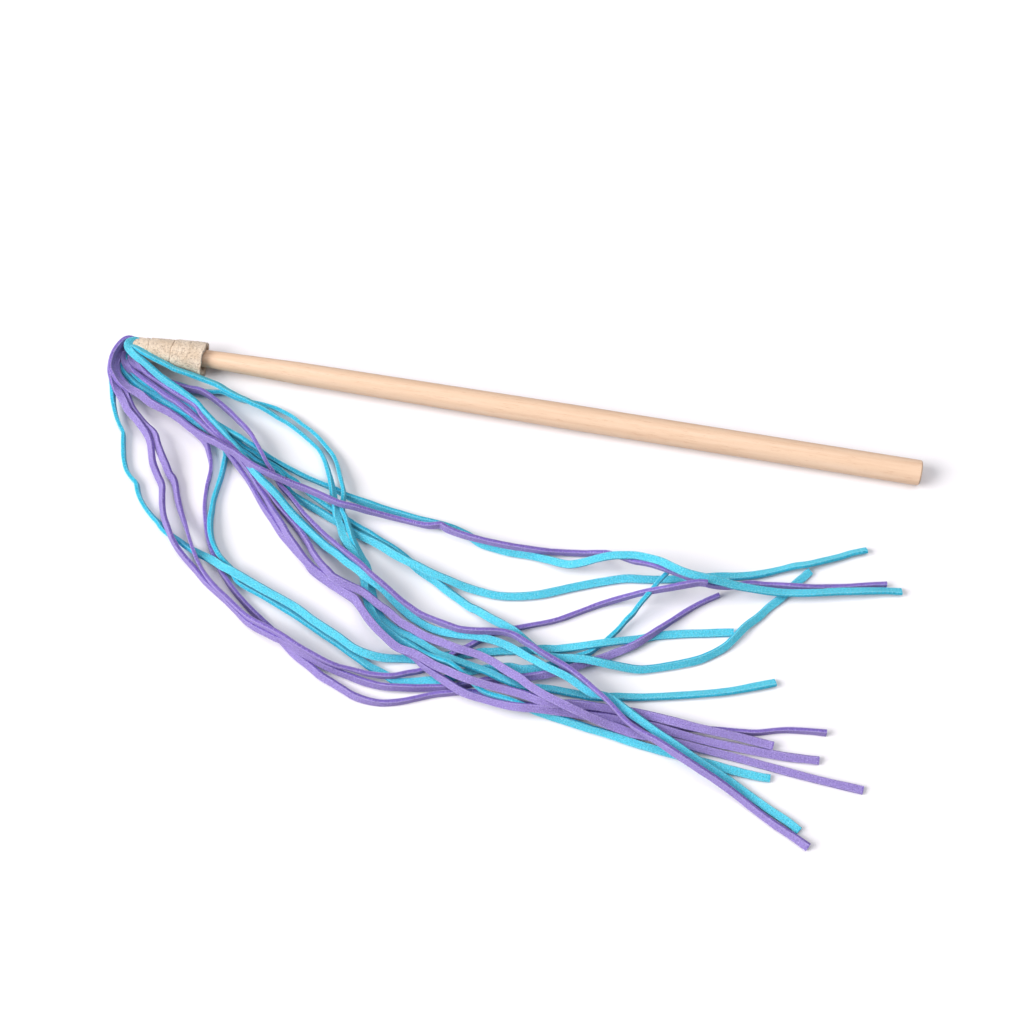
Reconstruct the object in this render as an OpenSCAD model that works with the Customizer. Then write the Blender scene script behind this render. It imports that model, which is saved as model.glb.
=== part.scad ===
// Cat teaser wand: a turned wooden stick, a felt strip wound round its tip, and sixteen flat suede laces
// that leave the strip's mouth, turn back beside the stick and lie in a loose tassel.
// The wand lies on its wrap and its butt. +X runs along the stick from tip to butt, +Z is up.

/* [Stick] */
// Length of the stick from nose to butt
stick_len = 304.8; // [240:1:400]
// Diameter of the straight handle
stick_d = 9.5; // [8.4:0.1:10.6]
// Diameter where the stick enters the wrap
stick_neck_d = 6.6; // [5.8:0.1:7.4]
// Diameter of the nose at the tip
nose_d = 3; // [2.4:0.1:3.6]
// Length of the straight handle, from the butt
handle_len = 132; // [80:1:150]
// Length of the quick taper in front of the wrap
shoulder_len = 36; // [25:1:45]
// Diameter where the slow taper meets the quick one
shoulder_d = 8.4; // [7.6:0.1:9.2]
// Eased edge round the butt
butt_ease = 0.5; // [0.2:0.1:0.9]

/* [Wrap] */
// Length of the felt wrap along the stick
wrap_len = 28; // [22:1:34]
// Outside diameter of the wrap's wide end
wrap_wide_d = 11.9; // [11:0.1:13]
// Outside diameter of the wrap's mouth
wrap_mouth_d = 8.2; // [7.6:0.1:9]
// Thickness of the felt strip
felt_t = 1.1; // [0.8:0.1:1.4]
// Step down from one turn of the strip to the next
turn_step = 0.35; // [0.2:0.05:0.5]
// Slant of the strip's edges
turn_slant = 5; // [0:0.5:8]
// Length of the nose that stands out of the mouth
nose_out = 3.9; // [2.5:0.1:5]

/* [Laces] */
// Width of a lace
lace_w = 3; // [2.6:0.1:3.2]
// Thickness of a lace
lace_t = 1.5; // [1.2:0.1:1.6]
// Bevel along a lace's edges
lace_bevel = 0.35; // [0.2:0.05:0.5]
// Radius within which the laces stay with the wand when the tassel swings
swing_r = 13; // [12:0.5:14]
// Distance of the swing's axis from the nose's end
swing_in = 2.4; // [1.8:0.1:3]
// Radius within which the laces lie pressed together in one bundle
bundle_r = 60; // [56:1:64]

/* [Hidden] */

// Clearance between the packed lace ends and what holds them
core_gap = 0.05;
// Clearance between the laces and the wand, and across the swing's cut
soft_gap = 0.15;
// Overrun of every cut
over = 1;
// Depth of the packed lace ends inside the wrap
core_depth = 13;
// Rings to each span of a lace's route
ring_steps = 2;
// Facets of the turned pieces
round_fn = 96;

// The places along the stick
tip_x = -stick_len / 2;
butt_x = stick_len / 2;
mouth_x = tip_x + nose_out;
wide_x = mouth_x + wrap_len;
shoulder_x = wide_x + shoulder_len;
handle_x = butt_x - handle_len;
// The swing's axis stands in front of the mouth
swing_x = tip_x + swing_in;
// The stick lies on the wrap's wide end and its own butt, so it slopes a little
lie_angle = asin((wrap_wide_d - stick_d) / 2 / (butt_x - wide_x));
butt_z = stick_d / 2 * cos(lie_angle);
// Height of the stick's axis at a place along it
function axis_z(x) = butt_z + (butt_x - x) * tan(lie_angle);

// Lays a piece that is turned round the X axis down on the floor
module lie() {
    translate([butt_x, 0, butt_z]) rotate([0, lie_angle, 0]) translate([-butt_x, 0, 0]) children();
}

// Turns an outline of [distance along X, radius] points round the X axis
module turned(outline) {
    rotate([0, 90, 0]) rotate_extrude($fn = round_fn) polygon([for (p = outline) [p[1], p[0]]]);
}

// The stick's outline, grown by a clearance
function stick_outline(grow) = [
    [tip_x - grow, 0],
    [tip_x - grow, nose_d / 4 + grow],
    [tip_x + nose_d / 4 - grow, nose_d / 2 + grow],
    [wide_x, stick_neck_d / 2 + grow],
    [shoulder_x, shoulder_d / 2 + grow],
    [handle_x, stick_d / 2 + grow],
    [butt_x - butt_ease, stick_d / 2 + grow],
    [butt_x, stick_d / 2 - butt_ease + grow],
    [butt_x, 0]];

module stick() {
    color("#f2d6b0") lie() turned(stick_outline(0));
}

// Radius of the stick at a place in front of the wrap's wide end
function core_r(x) = let (nose_end = tip_x + nose_d / 4)
    nose_d / 2 + (stick_neck_d - nose_d) / 2 * (x - nose_end) / (wide_x - nose_end);

// Outside radius of the wrap at a share of its length from the mouth
function wrap_r(share) = (wrap_mouth_d + (wrap_wide_d - wrap_mouth_d) * share) / 2;
// The turns of the strip, as shares of the wrap's length
turn_start_shares = [0, 0.2, 0.56];
turn_end_shares = [0.34, 0.7, 1];

// One turn of the strip: a cone that stands a step above the turn before it, cut on the slant
module turn(i) {
    x0 = mouth_x + wrap_len * turn_start_shares[i];
    x1 = mouth_x + wrap_len * turn_end_shares[i];
    sunk = turn_step * (len(turn_start_shares) - 1 - i) / 2;
    slant = i == 0 ? 0 : turn_slant;
    intersection() {
        turned([[x0 - over, 0], [x0 - over, wrap_r(turn_start_shares[i]) - sunk],
            [x1, wrap_r(turn_end_shares[i]) - sunk], [x1, 0]]);
        translate([x0, 0, 0]) rotate([0, 0, slant]) rotate([0, slant, 0])
            translate([0, -wrap_wide_d, -wrap_wide_d]) cube([stick_len, 2 * wrap_wide_d, 2 * wrap_wide_d]);
    }
}

// The felt strip, wound in overlapping turns from the mouth to the wide end
module felt_wrap() {
    color("#c9a882") lie() difference() {
        union() {
            for (i = [0 : len(turn_start_shares) - 1]) turn(i);
        }
        turned([[mouth_x - over, 0], [mouth_x - over, wrap_mouth_d / 2 - felt_t - turn_step],
            [mouth_x, wrap_mouth_d / 2 - felt_t - turn_step],
            [wide_x, wrap_wide_d / 2 - felt_t], [wide_x + over, wrap_wide_d / 2 - felt_t], [wide_x + over, 0]]);
    }
}

// The lace ends, pressed into glue between the stick's nose and the felt
module glue_core() {
    x0 = mouth_x + turn_step;
    x1 = mouth_x + core_depth;
    bore = function(x) wrap_mouth_d / 2 - felt_t - turn_step
        + ((wrap_wide_d - wrap_mouth_d) / 2 + turn_step) * (x - mouth_x) / wrap_len;
    color("#b9a7c9") lie() turned([[x0, core_r(x0) + core_gap], [x0, bore(x0) - core_gap],
        [x1, bore(x1) - core_gap], [x1, core_r(x1) + core_gap]]);
}

// Each lace's route, chosen by hand: [x from the swing's axis, y, least height of the underside].
// The first points leave the mouth, the last one is the cut end.
purple_route_1 = [[3, 2, 6.2], [-1, 3, 6.4], [-4, 2, 6.2], [-6, -1.5, 5.8], [-6.8, -5.5, 5.6],
    [-5.8, -9.5, 5.6], [-3, -13, 6], [1, -16.3, 6.4], [7, -19.8, 6.4], [15, -23, 6],
    [22, -26, 5.6], [29, -29.3, 5.4], [36, -33, 5.2], [46, -36.3, 5.2], [56, -40.3, 0],
    [66, -44.5, 0], [78, -47.5, 0], [92, -50, 0], [104, -51.5, 0], [116, -52.2, 0],
    [124, -52.2, 0], [129.5, -51.6, 0], [132, -52, 0], [136, -53.4, 0],
    [146, -54.2, 0], [160, -54.4, 0], [176, -53.8, 0], [188, -52, 0], [198, -51.9, 0],
    [210, -52.8, 0], [222, -55.2, 0], [234, -56.4, 0], [245, -54.8, 0], [256, -53.2, 0],
    [266, -52.1, 0], [278, -49.6, 0], [294.5, -45.6, 0]];
purple_route_2 = [[3, 1, 3], [-1.5, 1, 3.2], [-4.2, -1.5, 3.6], [-5, -5.5, 4], [-4.8, -10, 4.4],
    [-3.3, -14.5, 4.6], [-0.5, -19.4, 4], [3, -24, 3], [8, -29.4, 2.4], [12.5, -32, 2],
    [16.5, -34.4, 1.6], [21.5, -41, 0.6], [27, -47.2, 0.3], [29.6, -50.6, 0.1],
    [32.5, -58.5, 0], [39.5, -72, 0], [48.5, -83.3, 0], [60, -93.2, 0], [72, -99.8, 0],
    [87, -105, 0], [102, -110.6, 0], [117, -112.6, 0], [126, -111.4, 0],
    [134, -107.4, 0], [142, -101.4, 0], [150, -95, 0], [158, -89.8, 0], [170, -84.2, 0],
    [188, -76, 0], [206, -66.4, 0], [220, -60.2, 0], [230.5, -57.2, 0]];
purple_route_3 = [[3, 1.5, 4.6], [-2, 1.5, 5], [-5, -1.5, 5.2], [-5.4, -6, 5.4], [-4, -11.5, 5.4],
    [-1, -16.8, 5], [3, -21.8, 4.6], [8, -28, 4.2], [13, -32.4, 3.6], [16.6, -37.5, 2],
    [20, -45.8, 1], [25, -53.8, 0.4], [28, -62.8, 0], [33.5, -72, 0], [41, -80, 0],
    [50, -87.8, 0], [60, -95, 0], [70, -100.6, 0], [80, -104.4, 0], [90, -108.6, 0],
    [102, -112.8, 0], [115, -115.4, 0], [128, -115.8, 0], [140, -113.8, 0], [150, -111.5, 0],
    [158, -108.4, 0], [166, -105, 0], [176, -102, 0], [186, -98, 0], [194, -93.6, 0],
    [206, -86.4, 0], [214, -80.4, 0], [224, -70.6, 0], [235.5, -60.6, 0]];
purple_route_4 = [[3, 0.5, 1.2], [-1.5, -0.5, 1.4], [-3.4, -4, 1.8], [-3, -8.5, 2.2],
    [0.5, -13, 2.6], [8, -17.6, 3], [18, -22.3, 3], [28, -26.6, 2.2], [34, -29.8, 1.9],
    [37.2, -33.4, 1.8], [39.5, -38.5, 0.6], [41.6, -45, 0], [42.5, -54, 0], [44.8, -64, 0],
    [49, -73.4, 0], [55, -81.3, 0], [62.5, -89.2, 0], [72, -97.6, 0], [81, -104.6, 0],
    [90, -110.8, 0], [101, -116.6, 0], [113, -121, 0], [124, -121.8, 0], [135, -118.3, 0],
    [145, -115.2, 0], [156, -113.5, 0], [170, -112.6, 0], [186, -112, 0], [202, -112.1, 0],
    [220, -112.5, 0], [236, -112.2, 0], [248, -110.6, 0], [262, -108.4, 0], [279, -105.6, 0]];
purple_route_5 = [[3, -0.5, 2.6], [-0.5, -2, 2.8], [-1.6, -5, 3], [0.5, -9, 3.2], [6, -12.8, 3.2],
    [14, -16.6, 2.8], [22, -20.6, 2.4], [30, -25.2, 2.2], [38, -30, 2], [46, -35, 2],
    [54, -40.4, 0], [61, -47.4, 0], [67.5, -54.4, 0], [73, -60.6, 0], [80.5, -68.6, 0],
    [88, -75.4, 0], [96, -80.4, 0], [103.5, -83.6, 0], [105.5, -84.8, 0], [107.5, -86.8, 0],
    [111, -90.8, 0], [119, -97, 0], [125, -100.4, 0], [130.5, -101.8, 0],
    [139, -105, 0], [148, -107.2, 0], [158, -108.9, 0], [168, -109.6, 0], [180, -110.8, 0],
    [192, -110.4, 0], [204, -110, 0], [216, -110, 0], [226, -110.8, 0], [236, -111.6, 0],
    [248, -112.4, 0], [261.5, -113.4, 0]];
purple_route_6 = [[3, -1, 4], [0.5, -2.5, 4.2], [0.6, -5.5, 4.2], [3.5, -9, 4], [10, -12.6, 3.6],
    [18, -16.4, 2.8], [27, -21.6, 1.4], [36, -28.4, 0.6], [44, -34.2, 0.2], [51.5, -40.8, 0],
    [58.5, -48, 0], [65.5, -56, 0], [73, -63.8, 0], [81, -70.8, 0], [88, -77, 0],
    [96, -82, 0], [102, -85.2, 0], [106, -88.2, 0], [111.5, -92.6, 0], [117, -96.8, 0],
    [124, -101.2, 0], [130.5, -104, 0], [139, -108, 0], [148, -112, 0], [155, -114, 0],
    [164, -115, 0], [174, -115, 0], [186, -114.2, 0], [200, -113.4, 0], [214, -113.8, 0],
    [229, -115, 0], [246, -116.4, 0], [262, -116.8, 0], [277.5, -116.2, 0]];
purple_route_7 = [[3, -1.5, 5.2], [1.4, -3, 5.2], [3, -6, 5], [7, -9, 4.6], [14, -12.6, 3.6],
    [22, -16.6, 2.6], [31, -21.4, 1.8], [40, -27.8, 1.8], [49, -35, 0], [57, -41.5, 0],
    [65, -49, 0], [74, -57.2, 0], [83, -66.2, 0], [92, -75, 0], [99, -79.4, 0],
    [107, -82.6, 0], [114, -86.2, 0], [124, -91.2, 0], [134, -94.8, 0], [143, -97.4, 0],
    [151, -99.2, 0], [160, -101.8, 0], [169, -106, 0], [178, -109.6, 0],
    [188, -112.9, 0], [200, -115.4, 0], [212, -117.1, 0], [228, -118.4, 0], [244, -120, 0],
    [260, -121.7, 0], [276, -122.9, 0], [293.5, -124, 0]];
purple_route_8 = [[3, -2, 6.4], [2.4, -4.2, 6.2], [6, -7.6, 5.4], [12, -10.8, 4.4],
    [20, -13.2, 3.2], [30, -14.2, 2.2], [38, -17.2, 1.8], [46, -21.8, 1.8], [53, -27, 1.8],
    [58, -32.8, 0], [64, -39.8, 0], [70, -46.2, 0], [78, -53.4, 0], [88, -60.8, 0],
    [98, -67, 0], [106, -72, 0], [112, -76.2, 0], [120, -81, 0], [130, -86.4, 0],
    [138, -88.2, 0], [146, -89.8, 0], [155, -90, 0], [164, -90.2, 0], [172, -93, 0],
    [181, -97.3, 0], [190, -101.8, 0], [197, -106.4, 0], [204, -111.4, 0],
    [212, -116.4, 0], [222, -120.6, 0], [234, -126.4, 0], [246, -132, 0], [260, -139.2, 0],
    [277.3, -148, 0]];
cyan_route_1 = [[3, 0, 0.8], [-1.2, -2, 1], [-1.8, -6, 1.2], [-0.5, -10.5, 1.8], [6, -15.6, 2],
    [14, -19.2, 1.6], [22, -22.6, 0.6], [31, -26, 0], [40, -29.6, 0], [50, -34.2, 0],
    [60, -39, 0], [70, -44.6, 0], [80, -50.4, 0], [90, -54.4, 0], [100, -58.8, 0],
    [110, -63, 0], [120, -66.4, 0], [128, -69, 0], [138, -72.3, 0], [148, -74.2, 0],
    [158, -74.4, 0], [170, -71.6, 0], [184, -66.4, 0], [198, -61, 0], [212, -58.2, 0],
    [222, -56.8, 0], [232, -55, 0], [242, -51.8, 0], [256, -47.2, 0], [270, -40.6, 0],
    [286.5, -33, 0]];
cyan_route_2 = [[3, 0, 2.2], [-0.8, -2.6, 2.2], [-0.8, -6.5, 2.4], [3, -11, 2.8], [10, -15.2, 2.6],
    [19, -18.9, 1.4], [28, -20.9, 0.2], [37, -24.2, 0], [44, -26.8, 0], [52, -29.8, 0],
    [60, -34.2, 0], [70, -38.2, 0], [80, -41.2, 0], [92, -44, 0], [104, -47, 0],
    [116, -48.8, 0], [130, -50.8, 0], [140, -53, 0], [150, -56, 0], [162, -56.8, 0],
    [174, -57.6, 0], [182, -57.6, 0], [188, -55.4, 0], [194, -52.8, 0], [202, -51.8, 0],
    [212, -52, 0], [222, -54.2, 0], [232, -55.6, 0], [244, -56.4, 0], [256, -56.4, 0],
    [268, -54.8, 0], [282, -50.6, 0], [300.5, -47.2, 0]];
cyan_route_3 = [[3, -0.5, 1.4], [-0.4, -3.4, 0.6], [0, -7.5, 0.6], [3.6, -11.8, 0.6],
    [11, -15.8, 0.4], [20, -19.8, 0], [30, -23.2, 0], [40, -27, 0], [50, -31.4, 0],
    [60, -36.6, 0], [70, -41.4, 0], [80, -46.3, 0], [90, -51.2, 0], [100, -56, 0],
    [110, -60.3, 0], [119, -65.4, 0], [126, -69.8, 0], [136, -74.8, 0], [148, -80.2, 0],
    [160, -85, 0], [170, -89.4, 0], [180, -92.8, 0], [194, -93.6, 0], [208, -93.8, 0],
    [220, -92, 0], [230, -88, 0], [240, -80.8, 0], [248, -71.8, 0], [256, -60, 0],
    [262, -51.6, 0], [267, -46, 0]];
cyan_route_4 = [[3, -0.5, 0], [-2, -2.4, 0.2], [-2.8, -7, 0.4], [-1.4, -12, 0.4], [5, -17, 0.4],
    [14, -20.4, 0.2], [24, -23.4, 0], [32, -27.2, 0], [39, -32.6, 0], [43.4, -36.4, 0],
    [45.8, -41.5, 0], [46.2, -48, 0], [46.4, -58, 0], [48.6, -68.4, 0], [53.4, -76.8, 0],
    [59, -82.2, 0], [66, -87.4, 0], [77, -92.2, 0], [88, -97, 0], [98, -101.8, 0],
    [107, -105.6, 0], [114, -108.8, 0], [121, -112, 0], [130, -112.8, 0], [139, -111.4, 0],
    [147, -108.8, 0], [154, -104.8, 0], [163, -102, 0], [173, -100, 0], [184, -95, 0],
    [192, -90.6, 0], [199, -84.4, 0], [206, -73.6, 0], [211.5, -64, 0],
    [217, -53.6, 0]];
cyan_route_5 = [[3, 0.5, 0], [-2.6, 0, 0.4], [-4.4, -3.5, 1], [-5, -8, 1.6], [-4.6, -13, 2.2],
    [-3, -18.4, 2.4], [-0.5, -24.4, 2], [4, -31.6, 1], [6.4, -37, 0.4], [8.4, -45, 0],
    [12.6, -51.8, 0], [15.8, -54.5, 0], [19, -60, 0], [26, -67.2, 0], [34, -72.6, 0],
    [44, -77.2, 0], [54, -80.8, 0], [63, -84.4, 0], [74, -89, 0], [86, -93.8, 0],
    [97, -99.4, 0], [107, -103.6, 0], [118, -105.6, 0], [130, -104.4, 0], [139, -102.2, 0],
    [148, -99.7, 0], [158, -96.4, 0], [168, -94, 0], [176, -92.2, 0], [184, -90.5, 0],
    [194, -87.8, 0], [206, -84.2, 0], [218, -80.2, 0], [230, -76.8, 0], [241.5, -74, 0]];
cyan_route_6 = [[3, -1, 0.2], [0.8, -4, 0], [3, -7.5, 0], [9, -10.6, 0], [17, -12.4, 0],
    [26, -12.8, 0], [35, -11.8, 0], [44, -12, 0], [54, -13.7, 0], [64, -16.3, 0],
    [74, -20.8, 0], [82, -26, 0], [87.5, -32.2, 0], [91, -41, 0], [93, -48.8, 0],
    [96.5, -56, 0], [101.5, -63.4, 0], [106.5, -70, 0], [110, -77, 0], [112.2, -83.2, 0],
    [118, -90.4, 0], [126, -95.4, 0], [136, -99.6, 0], [146, -101.8, 0], [156, -103.9, 0],
    [165, -106.2, 0], [173, -107.4, 0], [184, -107.2, 0], [195, -107.2, 0],
    [204, -105.7, 0], [218, -102.8, 0], [234, -99.2, 0], [248, -94.8, 0], [260, -90.6, 0]];
cyan_route_7 = [[3, 0, 7.4], [-0.5, -0.5, 8.6], [0.5, -1.8, 9.4], [4, -3.2, 8.8], [8, -4.6, 8],
    [13, -6, 7], [20, -7.4, 5.4], [26, -8.4, 4], [32, -9.4, 2.6], [40, -11, 1.9],
    [50, -14, 1.8], [62, -18, 0], [72, -22.8, 0], [79, -27.6, 0], [83.5, -34, 0],
    [87, -42.2, 0], [90, -49.2, 0], [94, -57.4, 0], [99.5, -65.4, 0], [104.5, -71.4, 0],
    [107.6, -77.6, 0], [109.6, -84, 0], [114, -91.2, 0], [122, -97, 0], [131, -100.8, 0],
    [141, -103.6, 0], [148, -105.8, 0], [155, -110, 0], [163, -113.4, 0], [174, -116.4, 0],
    [186, -118, 0], [200, -119.6, 0], [214, -121, 0], [230, -122.8, 0], [246, -124.4, 0],
    [261.5, -125.5, 0]];
cyan_route_8 = [[3, 1, 7.4], [-1, 1.6, 8], [-2.8, 0.4, 8], [-2, -1.9, 7.6], [1, -4, 7],
    [5, -6.3, 6.2], [10, -8.9, 5.6], [20, -13.8, 4.4], [29, -18.6, 3.4], [37, -23.8, 2.6],
    [45, -29.4, 2], [53, -36.6, 0], [61, -43.6, 0], [70, -50.6, 0], [80, -57.6, 0],
    [90, -63.8, 0], [100, -69.4, 0], [107, -73.8, 0], [114, -78, 0], [122, -84.6, 0],
    [131, -90, 0], [140, -92.2, 0], [149, -91.9, 0], [158, -92.8, 0], [168, -95.6, 0],
    [178, -99, 0], [188, -102.6, 0], [197, -106.2, 0], [205, -109, 0],
    [214, -113.4, 0], [224, -118.6, 0], [236, -124.4, 0], [248, -130, 0],
    [262, -137, 0], [274, -142.2, 0]];

// The laces from the bottom of the pile to its top
pile_order = [purple_route_4, cyan_route_4, cyan_route_5, purple_route_3, purple_route_2, cyan_route_3,
    cyan_route_1, cyan_route_2, cyan_route_6, cyan_route_7, purple_route_6, purple_route_5,
    purple_route_7, cyan_route_8, purple_route_8, purple_route_1];
// The places of the purple and the cyan laces in the pile
purple_places = [15, 4, 3, 0, 11, 10, 12, 14];
cyan_places = [6, 7, 5, 1, 2, 8, 9, 13];
// Clearance between a lace and the laces that it lies on or beside
pile_gap = 0.12;
// The laces that stay close together in the bundle, and those that leave it early
close_routes = [purple_route_1, purple_route_4, purple_route_5, purple_route_6, purple_route_7,
    cyan_route_1, cyan_route_2, cyan_route_3, cyan_route_4, cyan_route_8];
loose_routes = [cyan_route_5, cyan_route_6, cyan_route_7, purple_route_2, purple_route_3, purple_route_8];
// Heights of the bends' underside and top, and of the bundle's close and loose laces
bend_base = 0.8;
bend_top = 9.6;
bundle_h = 5.6;
loose_h = 2.6;

function plan(p) = [p[0], p[1]];
function span_len(pts, i) = norm(plan(pts[i + 1]) - plan(pts[i]));
// The slope of the curve at a point of the route, for each millimetre along it
function slope(pts, i) =
    i == 0 ? (pts[1] - pts[0]) / span_len(pts, 0)
    : i == len(pts) - 1 ? (pts[i] - pts[i - 1]) / span_len(pts, i - 1)
    : (pts[i + 1] - pts[i - 1]) / (span_len(pts, i - 1) + span_len(pts, i));
// A smooth curve through the route's points in plan, with its height taken straight
function curve_at(pts, i, t) = let (l = span_len(pts, i), a = slope(pts, i) * l, b = slope(pts, i + 1) * l,
    q = (2 * t ^ 3 - 3 * t ^ 2 + 1) * pts[i] + (t ^ 3 - 2 * t ^ 2 + t) * a
        + (3 * t ^ 2 - 2 * t ^ 3) * pts[i + 1] + (t ^ 3 - t ^ 2) * b,
    s = pts[i] + (pts[i + 1] - pts[i]) * t)
    [q[0], q[1], s[2]];
function smooth(pts) = [
    for (i = [0 : len(pts) - 2], k = [0 : ring_steps - 1]) curve_at(pts, i, k / ring_steps),
    pts[len(pts) - 1]];

// Distance in plan from a point to a span, and between two spans
function to_span(p, a, b) = let (ab = b - a) norm(p - a - ab * max(0, min(1, (p - a) * ab / (ab * ab))));
function turn_of(u, v) = u[0] * v[1] - u[1] * v[0];
function spans_cross(a, b, c, d) = turn_of(b - a, c - a) * turn_of(b - a, d - a) < 0
    && turn_of(d - c, a - c) * turn_of(d - c, b - c) < 0;
function span_gap(a, b, c, d) = spans_cross(a, b, c, d) ? 0
    : min(to_span(a, c, d), to_span(b, c, d), to_span(c, a, b), to_span(d, a, b));
// How high a span of a lace has to lie to clear the laces that are already down
function span_floor(a, b, down) = let (pa = plan(a), pb = plan(b), mid = (pa + pb) / 2, l = norm(pb - pa))
    max([0, for (other = down, m = [0 : len(other) - 2]) let (c = other[m], d = other[m + 1])
        if (abs(c[0] - mid[0]) + abs(c[1] - mid[1]) < 2 * l + 4 * lace_w && norm(plan(c)) > bundle_r - l)
            if (span_gap(pa, pb, plan(c), plan(d)) < lace_w + pile_gap)
                max(c[2], d[2]) + lace_t + pile_gap]);
// A lace laid on the laces that are down, outside the bundle
function laid(pts, down) = let (
    floors = [for (k = [0 : len(pts) - 2]) norm(plan(pts[k + 1])) > bundle_r ? span_floor(pts[k], pts[k + 1], down) : 0])
    [for (k = [0 : len(pts) - 1]) [pts[k][0], pts[k][1],
        max(pts[k][2], floors[max(k - 1, 0)], floors[min(k, len(pts) - 2)])]];
// The pile up to a place in its order
function pile_up(n) = n == 0 ? [laid(smooth(pile_order[0]), [])]
    : let (down = pile_up(n - 1)) concat(down, [laid(smooth(pile_order[n]), down)]);
function unit(v) = v / norm(v);
// The eight corners of a lace's bevelled section
function section() = let (w = lace_w / 2, h = lace_t / 2, b = lace_bevel) [
    [w, h - b], [w - b, h], [b - w, h], [-w, h - b], [-w, b - h], [b - w, -h], [w - b, -h], [w, b - h]];
// One ring of the tube round a point of the curve
function ring(pts, i) = let (
    ahead = unit(plan(pts[min(i + 1, len(pts) - 1)]) - plan(pts[max(i - 1, 0)])))
    [for (q = section()) pts[i] + [-ahead[1] * q[0], ahead[0] * q[0], q[1] + lace_t / 2]];

// A flat lace swept along a curve
module lace(pts) {
    n = len(section());
    last = (len(pts) - 1) * n;
    sides = [for (i = [0 : len(pts) - 2], j = [0 : n - 1], half = [0, 1])
        let (a = i * n + j, b = i * n + (j + 1) % n) half == 0 ? [a, b, b + n] : [a, b + n, a + n]];
    caps = [for (j = [1 : n - 2], end = [0, 1]) end == 0 ? [0, j + 1, j] : [last, last + j, last + j + 1]];
    polyhedron(points = [for (i = [0 : len(pts) - 1]) each ring(pts, i)],
        faces = concat(sides, caps), convexity = 10);
}

// The part of a curve between two distances from the swing's axis, with a ring to spare at each end
function stretch(pts, near, far) = let (
    first = [for (k = [0 : len(pts) - 1]) if (norm(plan(pts[k])) > near) k][0],
    beyond = [for (k = [first : len(pts) - 1]) if (norm(plan(pts[k])) > far) k],
    stop = len(beyond) > 0 ? beyond[0] : len(pts) - 1)
    [for (k = [max(first - 1, 0) : stop]) pts[k]];

// A round space about the swing's axis
module swing_space(r) {
    translate([0, 0, -over]) cylinder(h = 3 * wrap_wide_d, r = r, $fn = round_fn);
}

// The plan of a lace along a curve, and of several between two distances from the swing's axis
function side_of(pts, i) = let (v = unit(plan(pts[min(i + 1, len(pts) - 1)]) - plan(pts[max(i - 1, 0)])))
    [-v[1], v[0]] * lace_w / 2;
module strips(routes, near, far) {
    intersection() {
        union() {
            for (route = routes) {
                pts = stretch(smooth(route), near, far);
                n = len(pts);
                polygon([for (i = [0 : n - 1]) plan(pts[i]) + side_of(pts, i),
                    for (i = [n - 1 : -1 : 0]) plan(pts[i]) - side_of(pts, i)]);
            }
        }
        difference() {
            circle(r = far, $fn = round_fn);
            if (near > 0) circle(r = near, $fn = round_fn);
        }
    }
}

// The wrap and the stick behind it with a clearance
module wand_space() {
    lie() turned([[mouth_x - soft_gap, 0], [mouth_x - soft_gap, wrap_mouth_d / 2 + soft_gap],
        [wide_x, wrap_wide_d / 2 + soft_gap], [shoulder_x, wrap_wide_d / 2 + soft_gap], [shoulder_x, 0]]);
}

// The laces where they leave the mouth and turn back, pressed together up to the swing's cut
module lace_bends() {
    color("#8d7cc8") difference() {
        translate([swing_x, 0, bend_base]) linear_extrude(bend_top - bend_base)
            strips(pile_order, 0, swing_r - soft_gap);
        lie() turned(stick_outline(soft_gap));
        wand_space();
    }
}

// The laces from the swing's cut to where they part: the close ones pressed together, the loose ones lower
module lace_bundle() {
    color("#7f74c6") difference() {
        translate([swing_x, 0, 0]) {
            linear_extrude(bundle_h) strips(close_routes, swing_r + soft_gap, bundle_r);
            linear_extrude(loose_h) strips(loose_routes, swing_r + soft_gap, bundle_r);
        }
        wand_space();
    }
}

// A lace from the bundle to its cut end
module lace_tail(n, tint) {
    down = pile_up(n);
    color(tint) translate([swing_x, 0, 0]) difference() {
        lace(stretch(down[n], bundle_r, 2 * stick_len));
        swing_space(bundle_r);
    }
}

module purple_lace(i) {
    lace_tail(purple_places[i], "#8a74c9");
}

module cyan_lace(i) {
    lace_tail(cyan_places[i], "#2cb8dc");
}

stick();
felt_wrap();
glue_core();
lace_bends();
lace_bundle();
purple_lace(0);  // purple_lace_1
purple_lace(1);  // purple_lace_2
purple_lace(2);  // purple_lace_3
purple_lace(3);  // purple_lace_4
purple_lace(4);  // purple_lace_5
purple_lace(5);  // purple_lace_6
purple_lace(6);  // purple_lace_7
purple_lace(7);  // purple_lace_8
cyan_lace(0);  // cyan_lace_1
cyan_lace(1);  // cyan_lace_2
cyan_lace(2);  // cyan_lace_3
cyan_lace(3);  // cyan_lace_4
cyan_lace(4);  // cyan_lace_5
cyan_lace(5);  // cyan_lace_6
cyan_lace(6);  // cyan_lace_7
cyan_lace(7);  // cyan_lace_8
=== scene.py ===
import math
import bpy
import numpy as np
from mathutils import Matrix, Vector


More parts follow.
